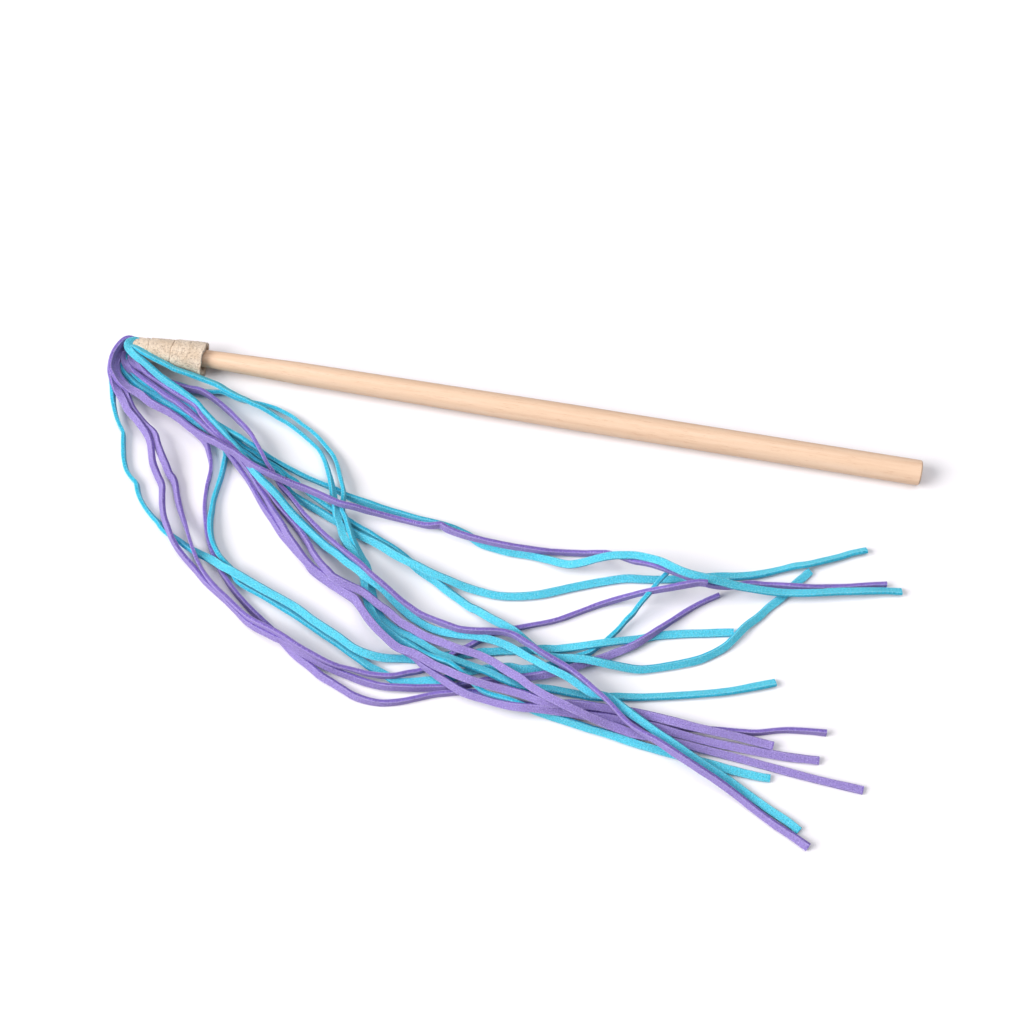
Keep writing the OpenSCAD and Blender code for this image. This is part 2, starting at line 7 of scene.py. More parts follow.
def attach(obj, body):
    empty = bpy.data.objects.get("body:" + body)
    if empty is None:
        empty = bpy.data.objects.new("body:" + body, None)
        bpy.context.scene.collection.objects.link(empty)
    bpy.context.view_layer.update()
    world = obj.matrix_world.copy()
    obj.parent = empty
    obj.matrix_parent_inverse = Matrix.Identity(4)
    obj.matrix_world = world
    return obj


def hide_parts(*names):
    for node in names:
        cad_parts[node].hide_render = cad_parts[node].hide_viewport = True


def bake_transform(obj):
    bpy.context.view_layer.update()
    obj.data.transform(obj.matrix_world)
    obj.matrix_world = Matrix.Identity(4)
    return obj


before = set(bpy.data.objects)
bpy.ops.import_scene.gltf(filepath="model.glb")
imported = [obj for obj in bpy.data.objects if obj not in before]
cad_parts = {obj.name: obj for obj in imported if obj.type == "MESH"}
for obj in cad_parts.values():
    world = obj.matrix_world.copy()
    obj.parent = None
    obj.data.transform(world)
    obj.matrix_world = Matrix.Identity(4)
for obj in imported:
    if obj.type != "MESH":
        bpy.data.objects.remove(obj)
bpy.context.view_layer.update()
scene = bpy.context.scene
rng = np.random.default_rng(7)
mm = 0.001

# Camera: the eye in mm, its turn from the stick's square and its angle above the table in degrees
view = dict(eye=(57.97, -333.09, 637.92), azimuth=10.156, elevation=65, lens=66.8, sensor=36, nearest=0.01)
eye = np.array(view["eye"])


def placeCamera():
    azimuth, elevation = math.radians(view["azimuth"]), math.radians(view["elevation"])
    level = math.cos(elevation)
    right = Vector((math.cos(azimuth), math.sin(azimuth), 0))
    ahead = Vector((-math.sin(azimuth) * level, math.cos(azimuth) * level, -math.sin(elevation)))
    camera = bpy.data.objects.new("camera", bpy.data.cameras.new("camera"))
    camera.data.sensor_width = view["sensor"]
    camera.data.lens = view["lens"]
    camera.data.clip_start = view["nearest"]
    turn = Matrix((right, right.cross(ahead), -ahead)).transposed().to_4x4()
    camera.matrix_world = Matrix.Translation(Vector(eye * mm)) @ turn
    scene.collection.objects.link(camera)
    scene.camera = camera


placeCamera()
print("camera placed")

laceWidth, laceThick = 3.0, 1.5
planes = dict(near=3, mid=2, far=1)  # mm above the table, where the points of a route are seen to lie
# Each lace as it is seen from the eye. A root, near or mid point is (x, y, least height of the middle).
# Rolls are (x, degrees), and the lace's left edge is the raised one where the roll is over zero.
# Room is how much further a lace may rise outside the felt, and lifts are (share of the length, mm added).
laces = {
    "purple1": dict(
        room=2.5,
        root=[(-145.6, 1.2, 6.2)],
        near=[(-150, 4.6, 6.4), (-151, 4.8, 6.6), (-152.4, 4.8, 6.8), (-153.6, 4.2, 7), (-154.7, 2.7, 7.2),
              (-155.7, 0.4, 7.2), (-156.4, -2.4, 7.2), (-156.4, -5.6, 7.2), (-155.6, -9.2, 7.2),
              (-154, -11.2, 7.4), (-151.3, -13.8, 7.6), (-147.8, -15.8, 7.6)],
        mid=[(-142, -17.7, 7), (-138, -20, 6.6), (-134.2, -21.5, 6.2), (-130.4, -22.7, 5.8),
             (-128, -23.8, 5.4), (-124.6, -25.4, 5), (-120.8, -27.7, 4.4), (-117, -29.6, 4),
             (-113, -31.2, 3.6), (-109.2, -32.3, 3.2), (-105.4, -33.8, 3)],
        far=[(-102, -34.6), (-98, -36.5), (-94.2, -38.5), (-90.4, -40), (-86.5, -41.2), (-82.7, -42.3),
             (-77, -43.8), (-71.2, -45), (-65.4, -46.5), (-58, -48.5), (-52.3, -49), (-46.5, -49.8),
             (-38.8, -50.6), (-31.2, -51.3), (-24.6, -51.7), (-21.5, -51.2), (-19.2, -50.6), (-17, -51.7),
             (-13, -52.7), (-7.3, -53.5), (-1.5, -54), (6.2, -54.4), (13.8, -54.4), (20, -54.2),
             (24.6, -53.8), (34.2, -52.6), (39, -51.6), (43.8, -50.9), (52.5, -52.4), (58.3, -52.6),
             (63, -53.3), (68, -54.3), (71.7, -55), (81, -56.8), (88, -56.4), (95.5, -53.8), (100.6, -53.3),
             (108.3, -52.3), (116, -51.5), (123.7, -50.3), (131.4, -48.7), (139, -46.7), (144.7, -45.4)],
        rolls=[(-157, -75), (-154, -60), (-148, -10), (-140, 38), (-128, 60), (-100, 66), (-82, 70),
               (-62, 80), (-24, 88), (-19, 60), (-10, 85), (20, 90), (36, 90), (44, 98), (66, 102), (80, 96),
               (90, 85), (120, 88), (145, 85)]),
    "purple2": dict(
        root=[(-147, 1, 4), (-149.4, 1.4, 4), (-152.4, 1.2, 4.2)],
        near=[(-153.6, -0.5, 4.6), (-154.6, -4, 5), (-154, -8, 5.2), (-152.4, -11.5, 5.2), (-150.6, -14.3, 5),
              (-148.5, -17, 4.8), (-146.5, -20, 4.4), (-144, -23.5, 4), (-141.8, -26, 3.6)],
        mid=[(-137, -30, 3), (-132.7, -33, 2.6), (-130.4, -37, 2.2), (-127.7, -41.2, 2), (-125, -45, 1.6)],
        far=[(-123, -48), (-121.2, -49.6), (-119.6, -52.3), (-118, -56.2), (-116.2, -60), (-113.8, -64.2),
             (-111.5, -68), (-109.6, -71.5), (-107.3, -75.4), (-104.6, -79.6), (-101.5, -83.5), (-98, -87),
             (-94.2, -90), (-90, -92.7), (-85.4, -95.8), (-80, -99), (-68, -103), (-60, -106.5), (-50, -110),
             (-45, -111.2), (-39, -111.7), (-33.5, -112.3), (-27.7, -112), (-23.8, -111.2), (-20, -109.6),
             (-15.2, -107.7), (-9, -103), (-4, -98.5), (-1.2, -96.5), (3.2, -92.6), (6, -90), (10.4, -87.7),
             (15.4, -85.8), (21.2, -83.5), (28.8, -80.4), (36.6, -75.7), (43.8, -71.3), (51, -67.5),
             (58.3, -64), (63, -62.2), (68, -60.3), (72.7, -58.4), (77.5, -56.7), (80.6, -56.4)],
        rolls=[(-155, -70), (-151, 0), (-145, 45), (-121, 52), (-115, 62), (-110, 92), (-60, 90), (-30, 92),
               (60, 92), (80, 70)]),
    "purple3": dict(
        root=[(-147, 2, 5.6), (-149.4, 2.8, 5.6), (-152.6, 2.6, 5.6)],
        near=[(-154.6, 1, 6), (-156.2, -3, 6.2), (-156.2, -7, 6.2), (-155.3, -10.8, 6), (-153.5, -14, 5.8),
              (-151.5, -17, 5.4), (-149, -20, 5), (-146.5, -23, 4.4), (-144.5, -25.5, 4)],
        mid=[(-140.4, -28.6, 3.4), (-137, -31.8, 3), (-135, -34, 2.6), (-133, -37.3, 2.2), (-131.5, -41.2, 2),
             (-130, -45, 1.6)],
        far=[(-127, -49.6), (-124.6, -53), (-123.5, -57), (-122.3, -61.2), (-120.4, -65.8), (-118, -69.6),
             (-115.4, -73.5), (-112.3, -77), (-108.5, -80.4), (-104.2, -83.8), (-99.6, -87.7), (-95, -90.8),
             (-90.4, -93.8), (-85.8, -97), (-80, -101), (-70, -104.5), (-66, -105.5), (-60, -108),
             (-50, -111.8), (-45, -113.3), (-39, -114.6), (-33.5, -115.6), (-27.7, -116), (-22, -115.4),
             (-16.2, -114.6), (-10.4, -113.5), (-4, -112.2), (0, -110.7), (4, -109), (8, -107.3),
             (12, -106.4), (16, -105.2), (22, -103.6), (27, -102), (31, -100.3), (35, -98.5), (38.5, -96.6),
             (42, -94.5), (46.2, -92.4), (52, -88.8), (57, -85.5), (60, -83), (65, -78), (69.3, -73.8),
             (75, -68.2), (80, -64), (85.3, -60.3)],
        rolls=[(-156, -70), (-152, -20), (-144, 35), (-130, 52), (-122, 62), (-112, 74), (-100, 82),
               (-66, 78), (-50, 62), (-15, 62), (10, 80), (30, 35), (50, 25), (62, 60), (70, 88), (86, 85)]),
    "purple4": dict(
        root=[(-147, 0.5, 3.6), (-149.6, 0.4, 3.4)],
        near=[(-152.5, -1, 3.2), (-153.4, -5, 3.8), (-153, -9.5, 4.2), (-150.5, -12.3, 4.6),
              (-147, -15.2, 4.4), (-143, -17.6, 4)],
        mid=[(-138, -19.8, 3.4), (-133, -21.8, 3), (-128, -23.6, 2.6), (-124, -25.4, 2.2), (-120, -27.8, 1.8),
             (-116, -30.4, 1.6), (-112.5, -33.4, 1.5)],
        far=[(-110.4, -37.3), (-108.8, -41.2), (-108.1, -45), (-108, -50), (-107.5, -55), (-106.7, -59.2),
             (-105.4, -63.5), (-103.8, -68), (-102, -72), (-100, -75.4), (-98.5, -78), (-95, -82.7),
             (-92.3, -85.4), (-89.2, -88.5), (-85.8, -91.5), (-80, -96), (-75, -99.5), (-70, -102.8),
             (-64, -107.5), (-60, -110.3), (-55, -113), (-50, -116), (-45, -118), (-41.2, -119.6),
             (-37.3, -121.2), (-33.5, -122), (-29.6, -122.3), (-25.8, -122), (-20, -120.4), (-14.2, -118),
             (-8.5, -115.6), (-4.2, -114.4), (0, -113.3), (5, -112.3), (11.5, -112.8), (20, -113.5),
             (30, -113.6), (38, -113.3), (45, -112.5), (52, -112), (60, -112.3), (70, -112.3), (80, -112.3),
             (91, -111.2), (100.7, -110.3), (105.5, -109.6), (110.3, -108.2), (115, -107), (120, -106.3),
             (124.7, -105.8), (129.3, -105.5)],
        rolls=[(-153, -70), (-140, -40), (-113, 60), (-108, 85), (-85, 80), (-65, 60), (-40, 55), (-28, 80),
               (-20, 90), (20, 90), (60, 85), (130, 88)]),
    "purple5": dict(
        root=[(-147, -1, 4), (-149.4, -1, 4)],
        near=[(-152.3, -1.5, 4), (-151.9, -2.9, 4.2), (-151.3, -5.1, 4.4), (-149.8, -7, 4.6),
              (-147.8, -8.6, 4.6), (-144.7, -10.4, 4.6), (-140.4, -12.8, 4.6), (-136, -15, 4.4),
              (-131.7, -17.3, 4), (-127.3, -19.2, 3.6)],
        mid=[(-122, -22, 3.2), (-117, -25, 3), (-110.4, -29.3, 2.6), (-104, -33.6, 2.2)],
        far=[(-99, -37.2), (-95.8, -40), (-92.3, -43.5), (-89.2, -47.3), (-85.8, -50.8), (-82.7, -54.6),
             (-77.3, -60.4), (-73.5, -65), (-69.6, -68.8), (-65.8, -72.7), (-62, -75.8), (-58, -78),
             (-54.2, -80.4), (-50.4, -82.3), (-46.5, -83.8), (-44.5, -84.6), (-42.7, -86.5), (-38.8, -90.8),
             (-35, -94.2), (-31.2, -97), (-25.4, -100.6), (-19.5, -101.8), (-15, -103.3), (-10.7, -105),
             (-6.4, -106), (-2, -107.2), (2.3, -108), (9.2, -108.9), (13.8, -109.3), (18.5, -109.8),
             (23, -110.3), (27.7, -111.2), (32.3, -111.7), (40, -110.5), (45, -110.2), (52, -110),
             (62.2, -109.9), (74.2, -110.6), (83.8, -111.5), (93.5, -112), (100.7, -112.5), (108, -113.2),
             (111.5, -113.5)],
        rolls=[(-152, -60), (-150.5, 60), (-147, 85), (-130, 88), (-110, 88), (-85, 80), (-75, 55), (-66, 65),
               (-46, 40), (-40, 12), (0, 12), (25, 50), (60, 35), (112, 15)]),
    "purple6": dict(
        root=[(-147, -1, 3.6), (-149.2, -1.4, 3)],
        near=[(-150.9, -3.2, 2.6), (-150.2, -5.6, 3), (-148.4, -7.6, 3.2), (-145, -10, 3.4),
              (-140.6, -12.2, 3.4), (-136, -14.6, 3.2), (-131.7, -16.8, 2.8), (-127.3, -18.8, 2.4)],
        mid=[(-121, -21.8, 2), (-115, -26.2, 1.8), (-108, -31.6, 1.6), (-103, -36.2, 1.6)],
        far=[(-98.5, -40.4), (-95, -43.8), (-91.5, -47.7), (-88, -52), (-84.6, -55.8), (-80.8, -59.6),
             (-77, -63.8), (-73, -67.3), (-69.2, -70.6), (-65, -74), (-62, -77), (-54.2, -81.2),
             (-48.5, -83.8), (-44.6, -85.8), (-38.8, -91.2), (-33.5, -95.4), (-25.8, -100.6), (-19.5, -102.8),
             (-15, -105.7), (-10.7, -107.9), (-6.4, -110), (-2, -112), (1.2, -113.2), (4.6, -113.9),
             (9.2, -114.5), (13.8, -115), (18.5, -115.2), (23, -115), (27.7, -114.5), (35, -114.2),
             (45, -114), (55, -113.6), (65, -113.8), (69.4, -113.9), (79, -115), (88.7, -115.9),
             (98.3, -116.3), (108, -116.6), (117.5, -116.6), (127.8, -116)],
        rolls=[(-151, -60), (-149, 60), (-145, 85), (-110, 88), (-60, 70), (-46, 88), (-22, 85), (0, 40),
               (20, 40), (60, 20), (128, 28)]),
    "purple7": dict(
        root=[(-147, -1.6, 5.6), (-148.6, -2.4, 5.6)],
        near=[(-149, -3.8, 5), (-147, -5.7, 5.2), (-144.7, -6.8, 5.2), (-140.4, -9.7, 5), (-136, -11.7, 4.8),
              (-131.7, -13.9, 4.6), (-127.3, -16, 4.2)],
        mid=[(-120.2, -18.6, 3.8), (-117, -22.5, 3.4), (-110.4, -28, 2.8), (-107, -30.5, 2.4),
             (-103, -33, 2.2)],
        far=[(-99, -36), (-95.6, -38.8), (-92.3, -41.5), (-88.5, -45.4), (-84.6, -48.8), (-80.8, -52.7),
             (-77, -56.2), (-73, -59.6), (-69.2, -63), (-65, -67.5), (-63.8, -69.2), (-60, -73),
             (-56.5, -75.8), (-54.2, -77.7), (-50.4, -79.2), (-46.5, -80.4), (-42.7, -81.5), (-38.8, -83.5),
             (-35, -85.8), (-31.2, -87.7), (-26, -91), (-21.6, -92.6), (-17.3, -94.4), (-13, -95.4),
             (-8.6, -96.3), (-4.2, -97.2), (0, -97.7), (4.6, -98.5), (9.2, -99.9), (12.7, -101.5),
             (16.2, -103), (19.6, -104.3), (23, -106.2), (26.5, -107.8), (30, -109.2), (33.5, -110.3),
             (37, -111.4), (42.3, -113), (47.4, -114.5), (52.5, -115.8), (57.6, -116.8), (62.8, -117.6),
             (79, -118.3), (88.7, -119.2), (98.3, -120), (108, -121), (117.5, -122), (130, -123.1),
             (144, -124)],
        rolls=[(-149, -60), (-147.5, 60), (-144, 85), (-110, 88), (-95, 85), (-60, 70), (-50, 40), (-20, 20),
               (60, 12), (144, 5)]),
    "purple8": dict(
        root=[(-147, -1.8, 5), (-148.2, -3, 4.8)],
        near=[(-145.6, -5.4, 5), (-142, -7.8, 4.8), (-138, -9.4, 4.4), (-134, -10.6, 4)],
        mid=[(-129, -11.5, 3.4), (-124.6, -11.9, 3), (-120.2, -12, 2.8), (-118, -12.7, 2.6),
             (-115.8, -13.7, 2.4), (-113.7, -14.8, 2.2), (-111.5, -16, 2), (-109.3, -17.4, 1.8),
             (-106, -19.6, 1.6), (-102.8, -22, 1.6), (-99.5, -24.3, 1.6), (-96.2, -27.2, 1.6)],
        far=[(-95.4, -28), (-93, -30.8), (-90.4, -34.2), (-87.7, -37.7), (-85.4, -40), (-81.5, -45),
             (-77.7, -48), (-73.8, -51.5), (-70, -55), (-65.4, -58.5), (-60, -62.3), (-56.2, -64.6),
             (-52.3, -67), (-48.5, -69.2), (-44.6, -71.5), (-40.8, -74.2), (-37, -76.5), (-33, -79),
             (-27.7, -82.5), (-23.8, -84.6), (-20, -86.5), (-14.2, -88), (-8.5, -89.2), (-4.6, -89.8),
             (1.2, -89.4), (6, -88.6), (11.5, -88.1), (15.4, -88.8), (19.4, -90.5), (23, -92), (25.4, -93.2),
             (28.8, -94.6), (32.2, -96), (35.8, -97.4), (39.7, -99.4), (43.5, -101.7), (47.4, -104.3),
             (51.2, -106.8), (55, -109.8), (57.6, -112), (60.2, -114), (64, -116), (68, -117.6),
             (71.8, -119.1), (79, -122.6), (86.3, -126), (93.5, -129.3), (100.7, -133.2), (108, -137.5),
             (115, -141.3), (122.3, -144.7), (127.6, -147.4)],
        rolls=[(-148, -50), (-140, 30), (-130, 60), (-114, 88), (-96, 94), (-60, 90), (-20, 82), (20, 84),
               (34, 96), (62, 98), (75, 72), (128, 52)]),
    "cyan1": dict(
        root=[(-147, -0.4, 3.8), (-149.6, -0.8, 3)],
        near=[(-151.2, -3, 2), (-151.4, -6.6, 2.2), (-149.6, -9.8, 2.8), (-145.6, -13, 3), (-141, -15.6, 3),
              (-136, -17.6, 2.8), (-131, -19.4, 2.4)],
        mid=[(-125, -21.8, 1.8), (-118, -25.4, 1.2), (-110, -28.8, 1), (-104, -31.8, 1)],
        far=[(-100, -33.4), (-96.5, -35), (-93, -37), (-89.6, -38.1), (-84.6, -39.6), (-82, -41),
             (-77.7, -46.9), (-73.8, -49.2), (-69.2, -51.2), (-65.4, -52.7), (-60, -55), (-58, -55.8),
             (-50.4, -59.2), (-46.5, -60.4), (-42.7, -61.5), (-38.8, -63), (-34.2, -65), (-28.5, -67),
             (-24.6, -68.1), (-18.8, -70), (-13, -71.5), (-7.3, -73), (-1.5, -74), (5.8, -74.6), (11.5, -74),
             (17.3, -72.7), (23, -70.8), (29.4, -68), (36.6, -65), (43.8, -62.2), (51, -59.8), (58.3, -58.8),
             (63, -58), (68, -57), (72.7, -55.7), (77.5, -54.8), (84, -53), (90.4, -51.8), (95.5, -50.5),
             (100.6, -48.7), (105.8, -46.4), (111, -44), (116, -42.3), (121.2, -40), (126.3, -37.7),
             (131.4, -35), (136.3, -33)],
        rolls=[(-151, -60), (-130, -20), (-114, 20), (-104, 62), (-70, 62), (-40, 42), (-10, 25), (60, 20),
               (90, -15), (105, -45), (120, -35), (136, -40)]),
    "cyan2": dict(
        root=[(-147, -1, 4.4), (-149.2, -1.4, 3.8)],
        near=[(-150.6, -3, 3.2), (-149.8, -6.2, 3.4), (-147, -9, 3.6), (-142.6, -12, 3.6), (-137, -14.6, 3.4),
              (-131, -17, 2.8)],
        mid=[(-124, -19.6, 2), (-116, -22.8, 1.4), (-111, -25, 1), (-107, -26.5, 1)],
        far=[(-103.5, -27.3), (-100, -28.5), (-97, -30), (-94.2, -31.2), (-89.2, -33.8), (-84.6, -35.8),
             (-78.8, -38), (-73, -40), (-65.4, -42), (-60, -43.5), (-56.2, -45), (-50.4, -46.2),
             (-42.7, -47.7), (-35, -48.8), (-28.5, -49.8), (-22.7, -50.2), (-17, -50.8), (-13, -51.6),
             (-7.3, -53.5), (-3.5, -55.4), (2.3, -56.3), (8, -56.9), (15, -56.9), (22.2, -57.4),
             (29.4, -57.9), (34.2, -56.4), (39, -54), (43.8, -51.9), (48.7, -50.7), (53.5, -50),
             (58.3, -50.2), (63, -50.8), (68, -52.4), (72.7, -53.6), (80, -54.3), (87, -54.9), (90.4, -55.4),
             (98, -55.6), (105.8, -55.4), (113.5, -54.4), (121.2, -52.8), (128.8, -51), (136.5, -49.5),
             (144.2, -48), (150.4, -47.2)],
        rolls=[(-150, -60), (-128, -20), (-114, 30), (-104, 92), (-66, 98), (-54, 70), (-10, 68), (20, 25),
               (50, 12), (80, 20), (100, -10), (150, -35)]),
    "cyan3": dict(
        root=[(-147, -0.8, 3.4), (-149, -1.4, 2.6)],
        near=[(-150.2, -3.6, 1.6), (-149.6, -7, 1.8), (-146.8, -10.2, 1.8), (-142, -13.6, 1.6),
              (-136.6, -16.4, 1.4), (-131, -18.6, 1.2)],
        mid=[(-123.6, -21.4, 1), (-116, -24.4, 1), (-108, -27.6, 1), (-103, -29.5, 1), (-100.4, -31.2, 1)],
        far=[(-97.3, -32.7), (-94.2, -33.8), (-91.2, -35.4), (-86.5, -37.3), (-82.7, -38.8), (-78.8, -41.2),
             (-75.4, -42.7), (-70, -46.8), (-66.5, -48.5), (-63.5, -50), (-60.4, -51.5), (-52, -55.4),
             (-48.5, -57), (-44.6, -58.5), (-40.8, -60.4), (-35, -62.8), (-30.4, -65.3), (-24.6, -69.2),
             (-20.8, -71.2), (-17, -73), (-12.3, -75.8), (-6.5, -78.8), (-2.7, -80.8), (0, -81.5),
             (5.8, -83.8), (11.5, -85.8), (15, -87.2), (18, -89), (21, -91), (24.5, -93), (28, -94.3),
             (32, -94.3), (37, -93.6), (42, -93.2), (50, -93.6), (60, -93.8), (64, -93), (70, -91), (80, -87),
             (85, -84), (90, -79.8), (93.5, -75), (96.5, -70.5), (100.6, -66), (103.7, -61.8), (107.8, -57.2),
             (112.4, -50.5), (114.5, -48), (116.8, -45.1)],
        rolls=[(-150, -60), (-130, -20), (-114, 20), (-104, 80), (-70, 95), (-40, 70), (0, 30), (20, 25),
               (60, 45), (90, 40), (117, 15)]),
    "cyan4": dict(
        root=[(-147, -0.4, 3.4), (-149.6, -0.6, 2.4)],
        near=[(-152.4, -3.4, 1.4), (-152.6, -7.4, 1.6), (-151.2, -11, 2), (-148, -14, 2.2),
              (-143.6, -16.2, 2.2), (-138, -18.2, 2)],
        mid=[(-130, -20.6, 1.6), (-123, -23, 1.4), (-116, -26.2, 1.4), (-110, -29.8, 1.4),
             (-106.4, -32.6, 1.4)],
        far=[(-104.4, -36), (-104, -40), (-103.8, -45), (-104, -50), (-104.2, -55), (-103.8, -60),
             (-103.3, -64.2), (-102, -68.8), (-100, -72.7), (-97, -76.5), (-93.5, -79.4), (-91.2, -81.2),
             (-88, -85.3), (-85, -87), (-77.3, -89.6), (-69.6, -92.7), (-63.8, -95), (-58, -97.7),
             (-52.3, -100.4), (-46.5, -103), (-41.2, -105.8), (-37.3, -107.7), (-33.5, -109.6),
             (-29.6, -110.8), (-27, -111.8), (-22.7, -113.4), (-19.5, -113), (-15, -111.9), (-11.8, -111),
             (-9, -110.6), (-5, -108.8), (-1, -106.5), (2, -105), (5, -103.8), (8.8, -102.6), (13, -101.5),
             (15.5, -100.8), (19.6, -101), (23, -100.2), (25.4, -99.5), (28, -98.6), (31, -97.2), (33.5, -96),
             (36, -94.4), (38.5, -93), (42.3, -90.8), (45, -88), (48.8, -83.6), (52, -79), (53.5, -76.2),
             (55.8, -72.7), (57.3, -69.4), (60.7, -63.2), (63, -58.8), (66.7, -53.1)],
        lifts=[(0.93, 1), (0.96, 3.5), (1, 6.5)],
        rolls=[(-152, -60), (-112, -62), (-106, -82), (-104, -84), (-92, -72), (-80, -45), (-40, -30),
               (0, 15), (35, 50), (45, 92), (67, 97)]),
    "cyan5": dict(
        root=[(-147, 0.6, 4), (-149.8, 0.8, 3.6)],
        near=[(-152.8, -1.3, 3.4), (-154.3, -4, 3.8), (-155, -7, 4), (-154.8, -9, 4.2), (-154, -14, 4.2),
              (-153, -17, 4), (-152, -20.3, 3.6), (-150.8, -23.6, 3.2)],
        mid=[(-148.5, -28.5, 2.6), (-146.2, -32, 2.2), (-144.2, -34.6, 2), (-143.3, -38, 1.8),
             (-142.3, -41.5, 1.6), (-141.2, -45, 1.5)],
        far=[(-139.2, -49.2), (-136.5, -52), (-134.2, -53.8), (-133, -56.5), (-131.2, -59.6), (-128.5, -62.7),
             (-125, -65.8), (-122, -68), (-119.2, -70.6), (-116, -72.3), (-112.7, -73.8), (-109.6, -75.4),
             (-103.5, -77.7), (-98.8, -79.2), (-95, -80.8), (-91.2, -82), (-85.2, -84.3), (-77.3, -87.3),
             (-69.6, -90), (-63.8, -92.3), (-58, -95.4), (-52.3, -98), (-46.5, -100.6), (-41.2, -103.3),
             (-37.3, -104.6), (-33.5, -105.2), (-29.6, -105.4), (-25.8, -105), (-22, -104.4), (-18, -104),
             (-13, -102.7), (-8, -100.8), (-5, -100), (-2, -99.3), (1, -98.5), (5, -97), (8, -96.4),
             (11.5, -95.5), (15, -94.8), (19.5, -93.8), (23, -93), (25.5, -92), (30.8, -91.2), (38.5, -88.8),
             (46.2, -86.2), (53.8, -83.8), (60, -82), (65, -80), (75, -77.4), (82.3, -75.9), (90, -74.2),
             (92.4, -73.8)],
        rolls=[(-155, -75), (-147, -85), (-134, -75), (-133, -85), (-125, -70), (-105, -40), (-95, 20),
               (-60, 30), (-20, 10), (40, 0), (92, 0)]),
    "cyan6": dict(
        root=[(-147, -1.6, 3.8), (-148.4, -3, 2.8)],
        near=[(-146, -6.6, 1.4), (-141, -9, 1.4), (-135, -10.4, 1.2), (-128, -11.2, 1)],
        mid=[(-123, -11.6, 1), (-119, -11.8, 1), (-115.8, -11.7, 1), (-112.6, -11.1, 1), (-110.4, -11.3, 1),
             (-108.2, -12.1, 1), (-105, -13, 1)],
        far=[(-100, -12.9), (-95.4, -13.1), (-90.4, -13.8), (-86.5, -15), (-82.7, -16.5), (-78.8, -18.8),
             (-75, -20.8), (-71.2, -23.5), (-67.3, -27), (-64.2, -30), (-62, -33.5), (-60.4, -37),
             (-58.8, -40.4), (-57.3, -44.2), (-56.3, -51), (-54.6, -53.5), (-52.3, -57.7), (-50, -62),
             (-47.3, -65.8), (-45, -68.8), (-42.7, -71.5), (-40, -78.5), (-38.6, -81.5), (-37, -85),
             (-33.5, -90.3), (-26, -94.8), (-21.6, -96), (-17.3, -97.6), (-13, -99.4), (-9.7, -100.7),
             (-6.4, -101.3), (-2, -102.2), (2.3, -102.9), (6.7, -103.7), (9.2, -104.3), (13.8, -105.7),
             (18.5, -106.8), (22, -107.4), (27.2, -106.8), (32, -106.5), (37, -106.6), (42.3, -106.7),
             (46, -106.8), (50, -106.2), (53.8, -105.4), (57.6, -104.8), (64.6, -103.6), (74.2, -101.4),
             (83.8, -99), (93.5, -96.2), (100.7, -93.5), (105.5, -91.6), (109.5, -90)],
        rolls=[(-148, -50), (-112, -60), (-90, -72), (-62, -82), (-50, -65), (-38, -35), (-20, -20),
               (40, -30), (110, -35)]),
    "cyan7": dict(
        root=[(-146, 0, 6.4)],
        near=[(-150.7, 2.5, 9), (-148.8, 1.7, 9.6), (-147, 0.9, 9.8), (-145.2, 0, 9.8), (-143, -0.9, 9.4),
              (-140.4, -1.9, 9), (-138.2, -2.7, 8.6), (-136, -3.4, 8.2), (-133.8, -4.2, 7.8),
              (-131.7, -5, 7.2), (-129.5, -5.5, 6.6), (-127.3, -5.9, 6)],
        mid=[(-120.5, -6.9, 4.2), (-114.7, -8.2, 3), (-112.6, -9, 2.6), (-110.4, -10, 2.4),
             (-108.2, -10.8, 2.2), (-105, -11.9, 2), (-101.7, -12.8, 1.8)],
        far=[(-100, -13.1), (-96.2, -14.2), (-92.3, -15.8), (-88.5, -17.7), (-84.6, -19.2), (-80.8, -21.2),
             (-77, -23.5), (-73, -26.2), (-70, -28.5), (-67.3, -32), (-65.4, -35.4), (-63.5, -39.2),
             (-62, -42.7), (-60.8, -45.8), (-58.8, -50.8), (-58, -53.5), (-55.8, -57.3), (-53.8, -61.2),
             (-51.2, -64.6), (-48.8, -67), (-45, -72.5), (-42.3, -77.7), (-41.3, -81), (-39, -86),
             (-33.5, -92.8), (-26, -97.2), (-21.6, -98.9), (-17.3, -100.7), (-15, -101.5), (-10.7, -102.4),
             (-6.4, -103), (-4.2, -103.9), (-2, -105), (0, -106.3), (4, -109.3), (8, -111.5), (12, -112.4),
             (17, -112.9), (22, -114), (26, -115.3), (32, -116.3), (37, -117), (42.3, -117.8), (47.4, -118.6),
             (52.5, -119.2), (57.6, -120), (64.6, -121.2), (74.2, -122.4), (88.7, -123.7), (98.3, -124.8),
             (108, -125.5), (111.8, -125.4)],
        rolls=[(-152, -30), (-148, -30), (-143, -40), (-118, -42), (-100, -52), (-80, -74), (-66, -75),
               (-60, -55), (-55, -15), (-40, 10), (-28, 30), (-16, 76), (0, 98), (18, 100), (34, 60),
               (60, 20), (112, 10)]),
    "cyan8": dict(
        root=[(-145.4, 1, 5.2)],
        near=[(-149.2, 4.6, 8.6), (-150.5, 4.2, 9.4), (-151.8, 3.7, 10), (-152.3, 2.4, 10),
              (-151.6, 0.8, 9.8), (-149.8, -0.9, 9.6), (-146.9, -2.7, 9.4), (-144.7, -3.8, 9.2),
              (-142.6, -5.1, 8.6), (-140.4, -6.6, 8.2), (-138.2, -8, 7.8), (-136, -9.4, 7.4),
              (-133.8, -10.5, 7), (-131.7, -11.6, 6.6), (-129.5, -12.7, 6.2), (-127.3, -13.8, 5.8)],
        mid=[(-120, -17.6, 4.8), (-117, -20.2, 4.4), (-110.4, -25.4, 3.6), (-107.2, -27.8, 3.2)],
